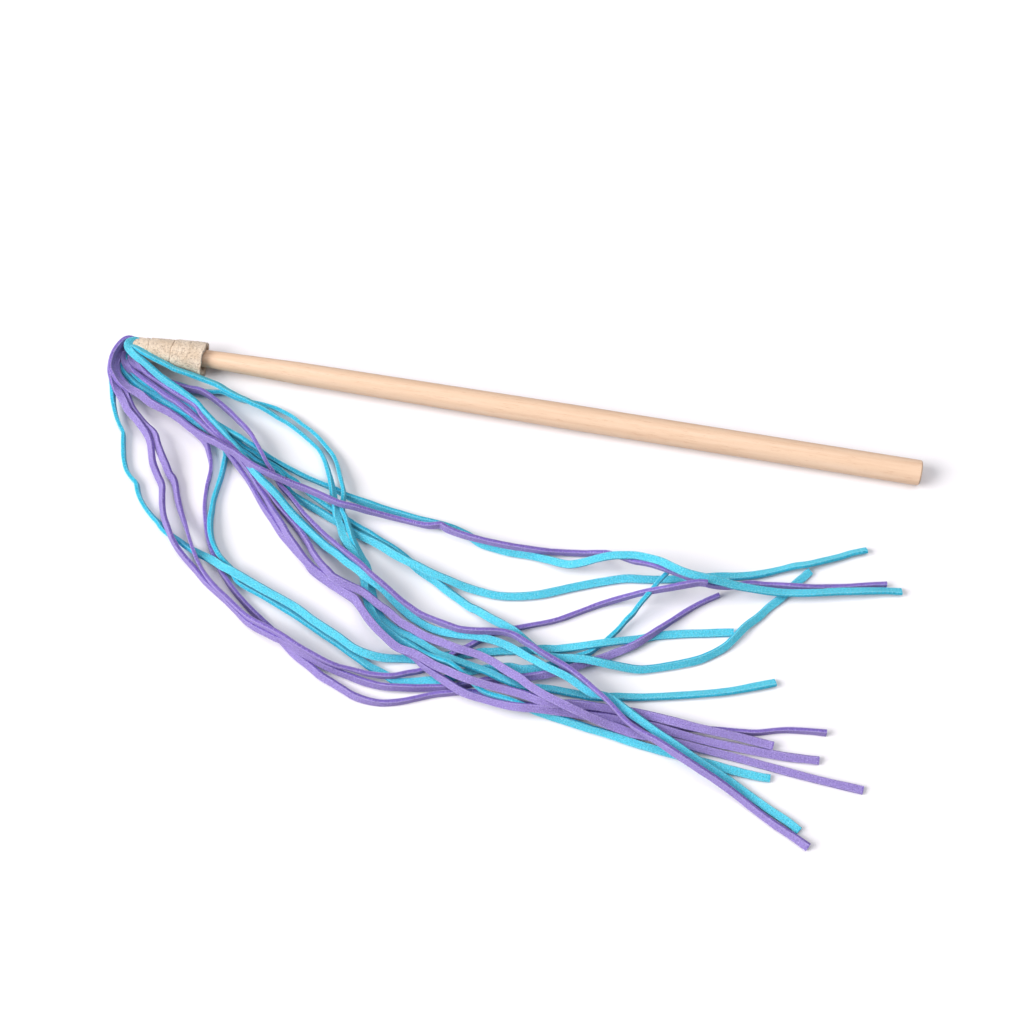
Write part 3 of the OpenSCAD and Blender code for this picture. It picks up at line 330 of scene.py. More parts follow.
        far=[(-105, -29.6), (-102, -32), (-98.5, -35), (-92.3, -41.2), (-88.5, -44.2), (-85, -46.6),
             (-81.2, -49.5), (-77.3, -53), (-73.5, -56.2), (-69.6, -59.2), (-65.8, -62), (-62, -64.6),
             (-58, -67), (-54.2, -68.8), (-50.4, -71.2), (-46.5, -73.1), (-42.7, -75.4), (-38.8, -77.3),
             (-35, -79.3), (-31.2, -82.3), (-25.8, -86.2), (-22, -88.5), (-18, -90.3), (-14.2, -91.5),
             (-10.4, -92), (-4.6, -91.9), (1.2, -91.4), (4.6, -91.6), (9.2, -92.1), (13.8, -93.2),
             (17.3, -94.4), (20.8, -95.8), (24.2, -97), (27.7, -98.3), (32, -99.5), (35.8, -100.7),
             (39.7, -102.5), (43.5, -104.5), (46, -105.5), (49.5, -105.6), (52.5, -106), (55, -107.3),
             (57.6, -108.9), (60.2, -110.3), (64, -112.2), (68, -114.3), (71.7, -116.3), (76.6, -118.6),
             (83.8, -122.1), (91, -125.5), (98.3, -128.8), (105.5, -132.7), (112.7, -136.5), (120, -139.9),
             (123.8, -142.3)],
        rolls=[(-153, -40), (-151, 10), (-147, 60), (-120, 64), (-100, 62), (-60, 42), (-20, 20), (20, 15),
               (60, 35), (124, 12)]),
}

# The laces from the bottom of the pile to its top
pileOrder = ["purple4", "cyan4", "cyan5", "purple3", "purple2", "cyan3", "cyan1", "cyan2", "cyan6", "cyan7",
             "purple6", "purple5", "purple7", "cyan8", "purple8", "purple1"]
# Where the first lace lies over the second against that order, from one x to another
overlaps = [
    ("cyan2", "purple1", 36, 160),
    ("purple2", "purple1", 66, 90),
    ("cyan4", "cyan1", 40, 80),
    ("cyan4", "purple2", 40, 80),
    ("cyan8", "purple8", -150, -70),
    ("purple3", "purple2", -160, -131),
    ("cyan8", "purple1", -160, -138),
    ("cyan7", "purple1", -160, -138),
]
pile = dict(
    step=1.5,  # mm between the points of a route
    tip=-150,  # x of the stick's tip
    rollPoints=7,  # points over which a roll is evened out
    wander=7,  # degrees, twice what a roll usually strays by, slowly over the points below
    wanderPoints=25,
    wanderEven=6,
    roomPoints=(3, 7),  # the points over which a lace comes out of the felt and gets its room
    slack=0.3,  # mm that a lace may rise above its least height
    slackRates=((12, 0.1), (70, 0.4)),  # and that much more for each mm beyond a distance from the tip
    reach=0.93,  # share of two half widths at which laces touch
    rise=0.97,  # share of two half heights at which one lies on the other
    bendRadius=28,  # mm, the tightest bend of a lace over the one below
    sag=0.025,  # mm that a point hangs below the line between its neighbours
    softening=(1, 2, 3, 2, 1),  # weights of a height and its neighbours in the last smoothing
    endDrop=0.1,  # mm that the cut end sinks below the point before it
    sweeps=5,
    settles=200)


def seen(point, plane, height):
    # Moves a point on a plane along its line of sight to a height
    p = np.array([point[0], point[1], plane])
    return p + (eye - p) * (height - plane) / (eye[2] - plane)


def runAlong(points):
    return np.concatenate([[0], np.cumsum(np.linalg.norm(np.diff(points, axis=0), axis=1))])


def smoothCurve(points, step, finePerMm=4):
    # A smooth curve through the points, with even steps
    p = np.array(points, float)
    chord = np.concatenate([[0], np.cumsum(np.linalg.norm(np.diff(p[:, :2], axis=0), axis=1) + 1e-9)])
    slope = np.zeros_like(p)
    slope[1:-1] = (p[2:] - p[:-2]) / (chord[2:] - chord[:-2])[:, None]
    slope[0] = (p[1] - p[0]) / (chord[1] - chord[0])
    slope[-1] = (p[-1] - p[-2]) / (chord[-1] - chord[-2])
    fine = np.linspace(0, chord[-1], int(chord[-1] * finePerMm))
    k = np.clip(np.searchsorted(chord, fine, side="right") - 1, 0, len(p) - 2)
    span = chord[k + 1] - chord[k]
    t = ((fine - chord[k]) / span)[:, None]
    span = span[:, None]
    q = ((2 * t**3 - 3 * t**2 + 1) * p[k] + (t**3 - 2 * t**2 + t) * slope[k] * span
         + (3 * t**2 - 2 * t**3) * p[k + 1] + (t**3 - t**2) * slope[k + 1] * span)
    run = runAlong(q[:, :2])
    even = np.linspace(0, run[-1], max(4, int(round(run[-1] / step))) + 1)
    return np.stack([np.interp(even, run, q[:, c]) for c in range(q.shape[1])], 1)


def routeOf(lace):
    # Points as seen on the far points' plane, with the least height of the lace's middle
    points = [(*seen((x, y), h, planes["far"])[:2], h) for x, y, h in lace["root"]]
    for group in ("near", "mid"):
        points += [(*seen((x, y), planes[group], planes["far"])[:2], h) for x, y, h in lace[group]]
    points += [(x, y, 0) for x, y in lace["far"]]
    return smoothCurve(points, pile["step"])


def tall(roll):
    return (laceWidth * abs(np.sin(roll)) + laceThick * abs(np.cos(roll))) / 2


def broad(roll):
    return (laceWidth * abs(np.cos(roll)) + laceThick * abs(np.sin(roll))) / 2


def layOut(name, rank):
    # A lace before it is laid on the others: its route, its roll and the heights that it may have
    lace = laces[name]
    route = routeOf(lace)
    count = np.arange(len(route))
    west = np.argmin(route[:, 0])
    past = np.where(count < west, route[west, 0], route[:, 0])
    roll = np.radians(np.interp(past, *zip(*lace["rolls"])))
    even = pile["rollPoints"]
    roll = np.convolve(np.pad(roll, even // 2, "edge"), np.ones(even) / even, "valid")
    wide = pile["wanderPoints"]
    bell = np.hanning(wide) / pile["wanderEven"]
    wander = np.convolve(rng.normal(0, 1, len(route) + wide - 1), bell, "valid")
    roll = roll + np.radians(pile["wander"]) * wander
    least = np.maximum(route[:, 2], tall(roll))
    if "lifts" in lace:
        least = least + np.interp(np.linspace(0, 1, len(route)), *zip(*([(0, 0)] + lace["lifts"])))
    slack = lace.get("room", 0) * np.interp(count, pile["roomPoints"], (0, 1)) + pile["slack"]
    away = np.hypot(route[:, 0] - pile["tip"], route[:, 1])
    for start, rate in pile["slackRates"]:
        slack = slack + np.maximum(away - start, 0) * rate
    return dict(seen=route[:, :2], roll=roll, least=least, most=least + slack, z=least.copy(), rank=rank)


def placed(s):
    # The middle of a lace at its heights, moved along the lines of sight so that its outline stays
    p = np.column_stack([s["seen"], np.full(len(s["z"]), planes["far"])])
    return p + (eye - p) * ((s["z"] - planes["far"]) / (eye[2] - planes["far"]))[:, None]


def swappedAt(upper, lower, x):
    # Where the overlaps name these two laces
    found = np.zeros(len(x), bool)
    for a, b, low, high in overlaps:
        if (a, b) == (upper, lower):
            found |= (x > low) & (x < high)
    return found


def liesOver(upper, lower, x):
    above = state[upper]["rank"] > state[lower]["rank"]
    return swappedAt(upper, lower, x) | (above & ~swappedAt(lower, upper, x))


def heldUp(name):
    # The least heights of a lace on the laces that it lies over
    s = state[name]
    here = placed(s)
    need = s["least"].copy()
    for other in pileOrder:
        if other == name:
            continue
        o = state[other]
        there = placed(o)
        d = np.hypot(here[:, None, 0] - there[None, :, 0], here[:, None, 1] - there[None, :, 1])
        reach = pile["reach"] * (broad(s["roll"])[:, None] + broad(o["roll"])[None, :])
        rise = pile["rise"] * (tall(s["roll"])[:, None] + tall(o["roll"])[None, :])
        inside = d < reach
        if not inside.any():
            continue
        over = liesOver(name, other, here[:, 0])
        height = np.where(inside, o["z"][None, :] + rise * np.sqrt(np.clip(1 - (d / reach) ** 2, 0, 1)), 0)
        need = np.where(over, np.maximum(need, height.max(1)), need)
    return np.minimum(need, s["most"])


def drape(need, most):
    # No bend tighter than the radius, then a sag between the supports, then a light smoothing
    count = np.arange(len(need))
    gap = pile["step"] * (count[:, None] - count)
    need = np.minimum((need - gap**2 / (2 * pile["bendRadius"])).max(1), most)
    z = need.copy()
    for settle in range(pile["settles"]):
        middle = (z[:-2] + z[2:]) / 2 - pile["sag"]
        z[1:-1] = np.maximum(need[1:-1], middle)
        z[-1] = max(need[-1], z[-2] - pile["endDrop"])
    weights = np.array(pile["softening"])
    return np.convolve(np.pad(z, len(weights) // 2, "edge"), weights / weights.sum(), "valid")


# Heights of the pile: each lace is laid on the ones below it and sags between its supports
state = {name: layOut(name, rank) for rank, name in enumerate(pileOrder)}
for sweep in range(pile["sweeps"]):
    for name in pileOrder:
        state[name]["z"] = drape(heldUp(name), state[name]["most"])
print("pile settled, highest lace", round(max(s["z"].max() for s in state.values()), 1), "mm")


def newMaterial(name):
    m = bpy.data.materials.new(name)
    m.use_nodes = True
    tree = m.node_tree
    tree.nodes.clear()
    out = tree.nodes.new("ShaderNodeOutputMaterial")
    shader = tree.nodes.new("ShaderNodeBsdfPrincipled")
    tree.links.new(shader.outputs["BSDF"], out.inputs["Surface"])
    return m, tree, shader


def feed(tree, value, socket):
    # Links a socket, or sets it to a colour or a number
    if isinstance(value, bpy.types.NodeSocket):
        tree.links.new(value, socket)
    elif isinstance(value, tuple):
        socket.default_value = (*value, 1)
    else:
        socket.default_value = value


def noiseNode(tree, vector, scale, detail=4.0, rough=0.6):
    n = tree.nodes.new("ShaderNodeTexNoise")
    n.inputs["Detail"].default_value = detail
    n.inputs["Roughness"].default_value = rough
    feed(tree, scale, n.inputs["Scale"])
    tree.links.new(vector, n.inputs["Vector"])
    return n


def stretched(tree, vector, scale):
    n = tree.nodes.new("ShaderNodeMapping")
    n.inputs["Scale"].default_value = scale
    tree.links.new(vector, n.inputs["Vector"])
    return n.outputs["Vector"]


def ramp(tree, value, stops):
    n = tree.nodes.new("ShaderNodeValToRGB")
    while len(n.color_ramp.elements) < len(stops):
        n.color_ramp.elements.new(0.5)
    for e, (place, colour) in zip(n.color_ramp.elements, stops):
        e.position = place
        e.color = (*colour, 1)
    tree.links.new(value, n.inputs["Fac"])
    return n.outputs["Color"]


def mixed(tree, kind, factor, a, b):
    n = tree.nodes.new("ShaderNodeMix")
    n.data_type = "RGBA"
    n.blend_type = kind
    feed(tree, factor, n.inputs["Factor"])
    feed(tree, a, n.inputs[6])  # the two colours, A and B
    feed(tree, b, n.inputs[7])
    return n.outputs[2]  # the mixed colour


def maths(tree, kind, a, b):
    n = tree.nodes.new("ShaderNodeMath")
    n.operation = kind
    feed(tree, a, n.inputs[0])
    feed(tree, b, n.inputs[1])
    return n.outputs[0]


def setShader(shader, values):
    for label, value in values.items():
        shader.inputs[label].default_value = value


def bumped(tree, shader, height, strength, distance):
    bump = tree.nodes.new("ShaderNodeBump")
    bump.inputs["Strength"].default_value = strength
    bump.inputs["Distance"].default_value = distance
    tree.links.new(height, bump.inputs["Height"])
    tree.links.new(bump.outputs["Normal"], shader.inputs["Normal"])


def linear(r, g, b):
    return tuple(((c / 255 + 0.055) / 1.055) ** 2.4 if c > 10 else c / 255 / 12.92 for c in (r, g, b))


def nodeGroup(name, inputs, outputs):
    group = bpy.data.node_groups.new(name, "ShaderNodeTree")
    for label, kind in inputs.items():
        group.interface.new_socket(name=label, in_out="INPUT", socket_type="NodeSocket" + kind)
    for label, kind in outputs.items():
        group.interface.new_socket(name=label, in_out="OUTPUT", socket_type="NodeSocket" + kind)
    return group, group.nodes.new("NodeGroupInput").outputs, group.nodes.new("NodeGroupOutput").inputs


def placeGroup(tree, group, **values):
    n = tree.nodes.new("ShaderNodeGroup")
    n.node_tree = group
    for label, value in values.items():
        feed(tree, value, n.inputs[label])
    return n


def specksGroup():
    # Fine specks: a mask that is one where the noise is over High and nought where it is under Low
    inputs = dict(Vector="Vector", Scale="Float", Low="Float", High="Float")
    group, start, end = nodeGroup("fineSpecks", inputs, dict(Mask="Float"))
    noise = noiseNode(group, start["Vector"], start["Scale"], 3.0, 0.75)
    span = group.nodes.new("ShaderNodeMapRange")
    group.links.new(noise.outputs["Fac"], span.inputs["Value"])
    group.links.new(start["Low"], span.inputs["From Min"])
    group.links.new(start["High"], span.inputs["From Max"])
    group.links.new(span.outputs["Result"], end["Mask"])
    return group


fineSpecks = specksGroup()
white = (1, 1, 1)
nap = dict(
    drift=160,
    cutEdge=0.85,  # how far a cut edge takes its own colour
    rimHighlight=0.35,  # how far the corners are painted paler: a painted highlight, a glow of light along the fuzzy rims
    fibres=(300, 2600, 1),  # how fine they are along and across the lace
    streaks=0.6,
    streakShade=(0.72, 0.72, 0.72),
    pits=dict(Scale=2100.0, Low=0.36, High=0.52),
    pitDepth=0.8,
    pitShade=(0.5, 0.5, 0.53),
    tips=dict(Scale=2000.0, Low=0.55, High=0.66),
    tipCover=0.85,
    bump=(0.5, 0.00025),  # strength and metres
    shader={"Roughness": 0.92, "Specular IOR Level": 0.15, "Sheen Weight": 0.3, "Sheen Roughness": 0.5})


def suedeGroup():
    # Brushed suede: slow drift of the nap, fibres along the lace, dark pits, pale tips, a deeper cut edge and
    # a painted highlight along the rims
    inputs = dict(Vector="Vector", Edge="Float", Rim="Float")
    inputs.update(Deep="Color", Body="Color", Pale="Color", Cut="Color")
    group, start, end = nodeGroup("suedeNap", inputs, dict(Color="Color", Height="Float"))
    drift = noiseNode(group, start["Vector"], nap["drift"], 2.0, 0.5).outputs["Fac"]
    fibres = noiseNode(group, stretched(group, start["Vector"], nap["fibres"]), 1.0, 4.0, 0.7).outputs["Fac"]
    face = mixed(group, "MIX", drift, start["Deep"], start["Body"])
    colour = mixed(group, "MIX", maths(group, "MULTIPLY", start["Edge"], nap["cutEdge"]), face, start["Cut"])
    # Painted highlight: the corners of the lace are mixed towards the pale colour
    colour = mixed(group, "MIX", maths(group, "MULTIPLY", start["Rim"], nap["rimHighlight"]), colour, start["Pale"])
    streaks = ramp(group, fibres, [(0.3, nap["streakShade"]), (0.5, white)])
    colour = mixed(group, "MULTIPLY", nap["streaks"], colour, streaks)
    pits = placeGroup(group, fineSpecks, Vector=start["Vector"], **nap["pits"]).outputs["Mask"]
    pitColour = ramp(group, pits, [(0, nap["pitShade"]), (1, white)])
    colour = mixed(group, "MULTIPLY", nap["pitDepth"], colour, pitColour)
    tips = placeGroup(group, fineSpecks, Vector=start["Vector"], **nap["tips"]).outputs["Mask"]
    colour = mixed(group, "MIX", maths(group, "MULTIPLY", tips, nap["tipCover"]), colour, start["Pale"])
    group.links.new(colour, end["Color"])
    group.links.new(maths(group, "ADD", fibres, pits), end["Height"])
    return group


suedeNap = suedeGroup()
lavender = dict(Deep=linear(147, 128, 202), Body=linear(167, 149, 217),
                Pale=linear(208, 195, 241), Cut=linear(122, 97, 192))
turquoise = dict(Deep=linear(76, 204, 235), Body=linear(102, 218, 241),
                 Pale=linear(168, 237, 248), Cut=linear(22, 187, 224))


def suede(name, colours):
    m, tree, shader = newMaterial(name)
    lay = tree.nodes.new("ShaderNodeUVMap")
    lay.uv_map = "lay"
    edge, rimHighlight = tree.nodes.new("ShaderNodeAttribute"), tree.nodes.new("ShaderNodeAttribute")
    edge.attribute_name = "cutEdge"
    rimHighlight.attribute_name = "rimHighlight"
    napNode = placeGroup(tree, suedeNap, Vector=lay.outputs["UV"], Edge=edge.outputs["Fac"],
                         Rim=rimHighlight.outputs["Fac"], **colours)
    tree.links.new(napNode.outputs["Color"], shader.inputs["Base Color"])
    shader.inputs["Sheen Tint"].default_value = (*colours["Pale"], 1)
    setShader(shader, nap["shader"])
    bumped(tree, shader, napNode.outputs["Height"], *nap["bump"])
    return m


suedes = dict(purple=suede("lavenderSuede", lavender), cyan=suede("turquoiseSuede", turquoise))

# The section of a lace, as (across, up, cut edge, painted rim highlight): two brushed faces and two cut edges
# with soft corners, the corners marked for a painted highlight
sectionSide = [(1, -0.6, 1, 0.3), (1.02, 0, 1, 0), (1, 0.6, 1, 0.3)]
sectionTop = [(0.9, 0.98, 0, 1), (0.72, 1.01, 0, 0), (0.36, 1.02, 0, 0), (0, 1.03, 0, 0), (-0.36, 1.02, 0, 0),
              (-0.72, 1.01, 0, 0), (-0.9, 0.98, 0, 1)]
sectionPoints = sectionSide + sectionTop + [(-u, -v, c, r) for u, v, c, r in sectionSide + sectionTop]
laceCut = dict(
    step=0.8,  # mm between sections
    width=(0.97, 21, 0.03),  # share of the full width, then how slowly and how much it changes
    thick=(0.95, 15, 0.04),
    ragged=(5, 0.012),  # how slowly and how much each line of the section strays
    underside=2.5,  # half widths that the nap is shifted by below
    corner=24)  # degrees, a sharper corner stays sharp


def slowNoise(count, width, size):
    kernel = np.hanning(width + 2)[1:-1]
    draws = rng.normal(0, 1, count + width - 1)
    return size * np.convolve(draws, kernel / np.sqrt((kernel**2).sum()), "valid")


def unevenHalf(full, count, share, width, size):
    return full / 2 * (share + slowNoise(count, width, size))


def unit(vectors):
    return vectors / np.linalg.norm(vectors, axis=1)[:, None]


def laceMesh(name, centres, roll):
    n, k = len(centres), len(sectionPoints)
    along = unit(np.gradient(centres, axis=0))
    side = unit(np.cross([0, 0, 1.0], along))
    up = np.cross(along, side)
    wide = side * np.cos(roll)[:, None] + up * np.sin(roll)[:, None]
    thick = up * np.cos(roll)[:, None] - side * np.sin(roll)[:, None]
    halfWidth = unevenHalf(laceWidth, n, *laceCut["width"])
    halfThick = unevenHalf(laceThick, n, *laceCut["thick"])
    ragged = [slowNoise(n, *laceCut["ragged"]) for line in sectionPoints]
    run = runAlong(centres)
    verts, edgeMark, rimHighlightMark, lay, faces = [], [], [], [], []
    for i in range(n):
        for j, (u, v, cut, rimHighlight) in enumerate(sectionPoints):
            r = 1 + ragged[j][i]
            verts.append(centres[i] + wide[i] * u * halfWidth[i] * r + thick[i] * v * halfThick[i] * r)
            edgeMark.append(cut)
            rimHighlightMark.append(rimHighlight)
            across = u + (laceCut["underside"] if v < 0 else 0)
            lay.append((run[i] * mm, across * laceWidth / 2 * mm))
    for i in range(n - 1):
        for j in range(k):
            a, b = i * k + j, i * k + (j + 1) % k
            faces.append((a, b, b + k, a + k))
    faces.append(tuple(range(k - 1, -1, -1)))
    faces.append(tuple((n - 1) * k + j for j in range(k)))
    mesh = bpy.data.meshes.new(name)
    mesh.from_pydata([tuple(v * mm) for v in np.array(verts)], [], faces)
    mark = mesh.attributes.new("cutEdge", "FLOAT", "POINT")
    mark.data.foreach_set("value", edgeMark)
    # This mark carries the painted highlight on the lace's corners
    mesh.attributes.new("rimHighlight", "FLOAT", "POINT").data.foreach_set("value", rimHighlightMark)
    layer = mesh.uv_layers.new(name="lay")
    for loop in mesh.loops:
        layer.data[loop.index].uv = lay[loop.vertex_index]
    for polygon in mesh.polygons:
        polygon.use_smooth = len(polygon.vertices) == 4
    mesh.set_sharp_from_angle(angle=math.radians(laceCut["corner"]))
    for end in mesh.polygons[-2:]:
        for v in end.vertices:
            mark.data[v].value = 1
    mesh.update()
    obj = bpy.data.objects.new(name, mesh)
    scene.collection.objects.link(obj)
    return obj, run[-1]


# Each lace's mesh from the settled pile, in place of its CAD node; with purple1 the lace_bends and
# lace_bundle nodes are hidden too, the zone from 1 mm to 12 mm from the tip, towards the tassel, where the
# laces bend as the tassel swings
for name in pileOrder:
    s = state[name]
    fine = smoothCurve(np.column_stack([placed(s), s["roll"]]), laceCut["step"])
    colour, number = name[:-1], name[-1]
    piece, length = laceMesh(f"{colour}Lace{number}", fine[:, :3], fine[:, 3])
    piece.data.materials.append(suedes[colour])
    nodes = [f"{colour}_lace_{number}"]
    if name == "purple1":
        nodes += ["lace_bends", "lace_bundle"]
    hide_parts(*nodes)
    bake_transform(piece)
    print(piece.name, "length", round(length, 1), "mm")

stickSize = dict(half=152.4, radius=4.75)
# Felt wrap: a strip wound in three overlapping turns, open at its wide end
wrap = dict(
    start=-148.5, length=28.0, mouth=4.1, wide=5.95,  # mm along the stick, and the radius at each end
    thick=1.15, thinner=0.2,  # mm of felt, and how much less there is at the wide end
    waves=((0.25, 2, 1), (0.18, 5, 0)),  # how far the wide end's edge strays, how often round, from where
    seams=(-142.0, -132.4), step=0.42, slant=0.35, ragged=(0.12, 7),  # where a turn starts and how it runs
    stepShare=0.6, stepSharp=16,
    grooveDeep=0.4, grooveBack=0.22, grooveWide=0.2,
    lump=0.03, lumpEven=1.9, round=0.25, roundTurn=2.2, flap=0.6, flapTurn=math.radians(250),
    around=200, lengthwise=150)
# The stick rests on its handle and on the wide end of the wrap
tilt = math.asin((wrap["wide"] - stickSize["radius"]) / (stickSize["half"] - wrap["start"] - wrap["length"]))


def lieDown(p):
    # From the stick's own axis to the floor
    x, y, z = p[0] - stickSize["half"], p[1], p[2]
    c, s = math.cos(tilt), math.sin(tilt)
    return np.array([stickSize["half"] + x * c + z * s, y, max(0.0, stickSize["radius"] * c - x * s + z * c)])


def wrapPlace(share, angle):
    # Where a point of the strip is along the stick: the edge at the wide end is wavy
    waves = sum(size * math.sin(angle * often + turn) for size, often, turn in wrap["waves"])
    return wrap["start"] + wrap["length"] * share + waves * share**6


def wrapRadius(share):
    return wrap["mouth"] + (wrap["wide"] - wrap["mouth"]) * share


def wrapLip(share, angle):
    # The wide end is a little out of round, and the strip's end stands off in a flap
    flap = wrap["flap"] * share**14 * max(0, math.cos(angle - wrap["flapTurn"])) ** 3
    return wrap["round"] * share**10 * math.cos(angle + wrap["roundTurn"]) + flap


def wrapSeams(x, angle):
    # Each turn steps up over the one before, with a groove along its edge
    r = 0
    size, often = wrap["ragged"]
    for seam in wrap["seams"]:
        edge = seam + wrap["slant"] * math.sin(angle + seam) + size * math.sin(angle * often + seam)
        r += wrap["step"] * wrap["stepShare"] / (1 + math.exp(-(x - edge) * wrap["stepSharp"]))
        r -= wrap["grooveDeep"] * math.exp(-((x - edge + wrap["grooveBack"]) / wrap["grooveWide"]) ** 2)
    return r


def feltWrap():
    around, lengthwise = wrap["around"], wrap["lengthwise"]
    lump = rng.normal(0, 1, (lengthwise + 9, around))  # some rows more than the strip has
    for smoothing in range(2):
        lump = (lump + np.roll(lump, 1, 1) + np.roll(lump, -1, 1)) / wrap["lumpEven"]
        lump[1:-1] = (lump[1:-1] + lump[:-2] + lump[2:]) / wrap["lumpEven"]
    angles = [2 * math.pi * j / around for j in range(around)]
    verts, faces = [], []
    for i in range(lengthwise + 1):  # the outside, from the tip to the wide end
        share = i / lengthwise
        for j, angle in enumerate(angles):
            x = wrapPlace(share, angle)
            r = wrapRadius(share) - 0.5 * wrap["step"] + wrapSeams(x, angle)
            r += wrap["lump"] * lump[i, j] + wrapLip(share, angle)
            verts.append(lieDown((x, r * math.sin(angle), r * math.cos(angle))))
    for i in range(lengthwise, -1, -3):  # and back along the inside
        share = i / lengthwise
        for angle in angles:
            r = wrapRadius(share) - wrap["step"] - wrap["thick"] + wrap["thinner"] * share
            r += wrapLip(share, angle)
            verts.append(lieDown((wrapPlace(share, angle), r * math.sin(angle), r * math.cos(angle))))
    rows = len(verts) // around
    for i in range(rows):
        for j in range(around):
            a, b = i * around + j, i * around + (j + 1) % around
            c, d = ((i + 1) % rows) * around + (j + 1) % around, ((i + 1) % rows) * around + j
            faces.append((a, d, c, b))
    mesh = bpy.data.meshes.new("feltWrap")
    mesh.from_pydata([tuple(v * mm) for v in verts], [], faces)
    for polygon in mesh.polygons:
        polygon.use_smooth = True
    mesh.update()
    obj = bpy.data.objects.new("feltWrap", mesh)
    scene.collection.objects.link(obj)
    return obj


def objectPlace(tree):
    return tree.nodes.new("ShaderNodeTexCoord").outputs["Object"]


feltLook = dict(
    cloud=260,
    body=[(0.3, linear(207, 184, 160)), (0.5, linear(221, 200, 178)), (0.7, linear(231, 212, 192))],
    dark=dict(Scale=1700.0, Low=0.36, High=0.46), darkShade=linear(120, 84, 56), darkCover=0.5,
    light=dict(Scale=2300.0, Low=0.58, High=0.66),
    lightShades=[(0.4, linear(236, 218, 192)), (0.6, linear(244, 228, 205))],
    bump=(0.6, 0.0003),
    shader={"Roughness": 0.97, "Specular IOR Level": 0.1, "Sheen Weight": 0.3})


def feltMaterial():
    # Pressed felt: warm tan with pale and brown flecks of fibre
    m, tree, shader = newMaterial("tanFelt")
    place = objectPlace(tree)
    cloud = noiseNode(tree, place, feltLook["cloud"]).outputs["Fac"]
    dark = placeGroup(tree, fineSpecks, Vector=place, **feltLook["dark"]).outputs["Mask"]
    darkColour = ramp(tree, dark, [(0, feltLook["darkShade"]), (1, white)])
    colour = mixed(tree, "MULTIPLY", feltLook["darkCover"], ramp(tree, cloud, feltLook["body"]), darkColour)
    light = placeGroup(tree, fineSpecks, Vector=place, **feltLook["light"]).outputs["Mask"]
    colour = mixed(tree, "MIX", light, colour, ramp(tree, cloud, feltLook["lightShades"]))
    tree.links.new(colour, shader.inputs["Base Color"])
    setShader(shader, feltLook["shader"])
    bumped(tree, shader, dark, *feltLook["bump"])
    return m


felt = feltWrap()
felt.data.materials.append(feltMaterial())
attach(felt, "wand")
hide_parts("felt_wrap")
print("felt wrap made")

woodLook = dict(
    grain=(18, 620, 620),
    body=[(0.32, linear(227, 190, 160)), (0.5, linear(233, 199, 170)), (0.7, linear(238, 206, 180))],
    poreStretch=(0.05, 1, 1), pores=dict(Scale=3200.0, Low=0.3, High=0.42),
    poreShade=linear(214, 178, 144), poreCover=0.5,
    bump=(0.25, 0.0001),
    shader={"Roughness": 0.62, "Specular IOR Level": 0.35})


def woodMaterial():
    # Pale sanded hardwood: long straight grain, short pores and a slight warm drift
    m, tree, shader = newMaterial("paleWood")
    place = objectPlace(tree)
    grain = noiseNode(tree, stretched(tree, place, woodLook["grain"]), 1.0, 5.0, 0.6).outputs["Fac"]
    along = stretched(tree, place, woodLook["poreStretch"])
    pores = placeGroup(tree, fineSpecks, Vector=along, **woodLook["pores"]).outputs["Mask"]
    poreColour = ramp(tree, pores, [(0, woodLook["poreShade"]), (1, white)])
    colour = mixed(tree, "MULTIPLY", woodLook["poreCover"], ramp(tree, grain, woodLook["body"]), poreColour)
    tree.links.new(colour, shader.inputs["Base Color"])
    setShader(shader, woodLook["shader"])
    bumped(tree, shader, pores, *woodLook["bump"])
    return m


glueLook = dict(cloud=900, body=[(0.3, linear(90, 78, 150)), (0.7, linear(150, 140, 190))],
                shader={"Roughness": 0.4})


def glueMaterial():
    m, tree, shader = newMaterial("setGlue")
    cloud = noiseNode(tree, objectPlace(tree), glueLook["cloud"]).outputs["Fac"]
    tree.links.new(ramp(tree, cloud, glueLook["body"]), shader.inputs["Base Color"])
    setShader(shader, glueLook["shader"])
    return m


for node, material in (("stick", woodMaterial()), ("glue_core", glueMaterial())):
    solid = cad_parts[node]
    solid.data.materials.clear()
    solid.data.materials.append(material)
print("stick and glue given their finishes")

# In metres, with the colour that light bounces off and the colour that the camera sees
table = dict(half=3, top=-0.00005, bounce=(0.68, 0.67, 0.69), seen=(0.93, 0.905, 0.93),
             shader={"Roughness": 0.9, "Specular IOR Level": 0.0})


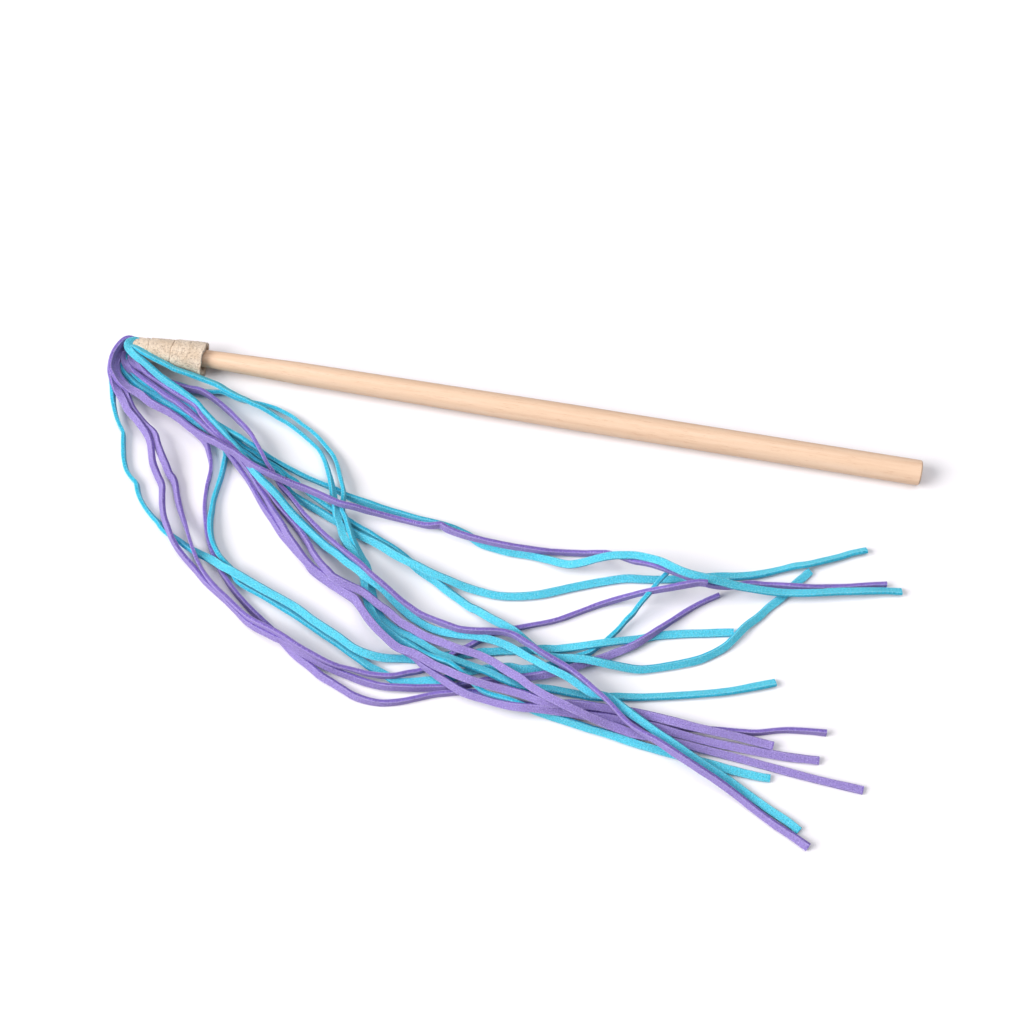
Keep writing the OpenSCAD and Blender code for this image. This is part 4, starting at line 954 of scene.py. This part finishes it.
def layTable():
    mesh = bpy.data.meshes.new("floor")
    half, top = table["half"], table["top"]
    corners = [(-half, -half, top), (half, -half, top), (half, half, top), (-half, half, top)]
    mesh.from_pydata(corners, [], [(0, 1, 2, 3)])
    floor = bpy.data.objects.new("floor", mesh)
    scene.collection.objects.link(floor)
    m, tree, shader = newMaterial("paleTable")
    ray = tree.nodes.new("ShaderNodeLightPath").outputs["Is Camera Ray"]
    tree.links.new(mixed(tree, "MIX", ray, table["bounce"], table["seen"]), shader.inputs["Base Color"])
    setShader(shader, table["shader"])
    mesh.materials.append(m)
    return floor


layTable()

# The world's tint, the strength that lights the part and the strength behind the table's edge
studio = dict(tint=(0.95, 0.95, 1.0, 1), onPart=0.185, behind=1.0)
lamps = dict(
    keyLight=dict(place=(-3.0, -1.35, 2.55), size=2.8, power=210, tint=(1, 0.99, 0.98)),
    topLight=dict(place=(0.3, 0.3, 3.1), size=2.6, power=50, tint=(0.97, 0.98, 1)))
lampTarget = (0, -0.05, 0)


def lightWorld():
    world = bpy.data.worlds.new("studio")
    world.use_nodes = True
    tree = world.node_tree
    background = tree.nodes["Background"]
    background.inputs["Color"].default_value = studio["tint"]
    strength = tree.nodes.new("ShaderNodeMapRange")
    strength.inputs["To Min"].default_value = studio["onPart"]
    strength.inputs["To Max"].default_value = studio["behind"]
    tree.links.new(tree.nodes.new("ShaderNodeLightPath").outputs["Is Camera Ray"], strength.inputs["Value"])
    tree.links.new(strength.outputs["Result"], background.inputs["Strength"])
    scene.world = world


def softbox(name, place, size, power, tint):
    light = bpy.data.lights.new(name, "AREA")
    light.shape = "RECTANGLE"
    light.size, light.size_y = size, size
    light.energy = power
    light.color = tint
    obj = bpy.data.objects.new(name, light)
    obj.location = place
    obj.rotation_euler = (Vector(lampTarget) - Vector(place)).to_track_quat("-Z", "Y").to_euler()
    scene.collection.objects.link(obj)


lightWorld()
for name, lamp in lamps.items():
    softbox(name, **lamp)
print("table and light set")

scene.view_settings.view_transform = "Standard"
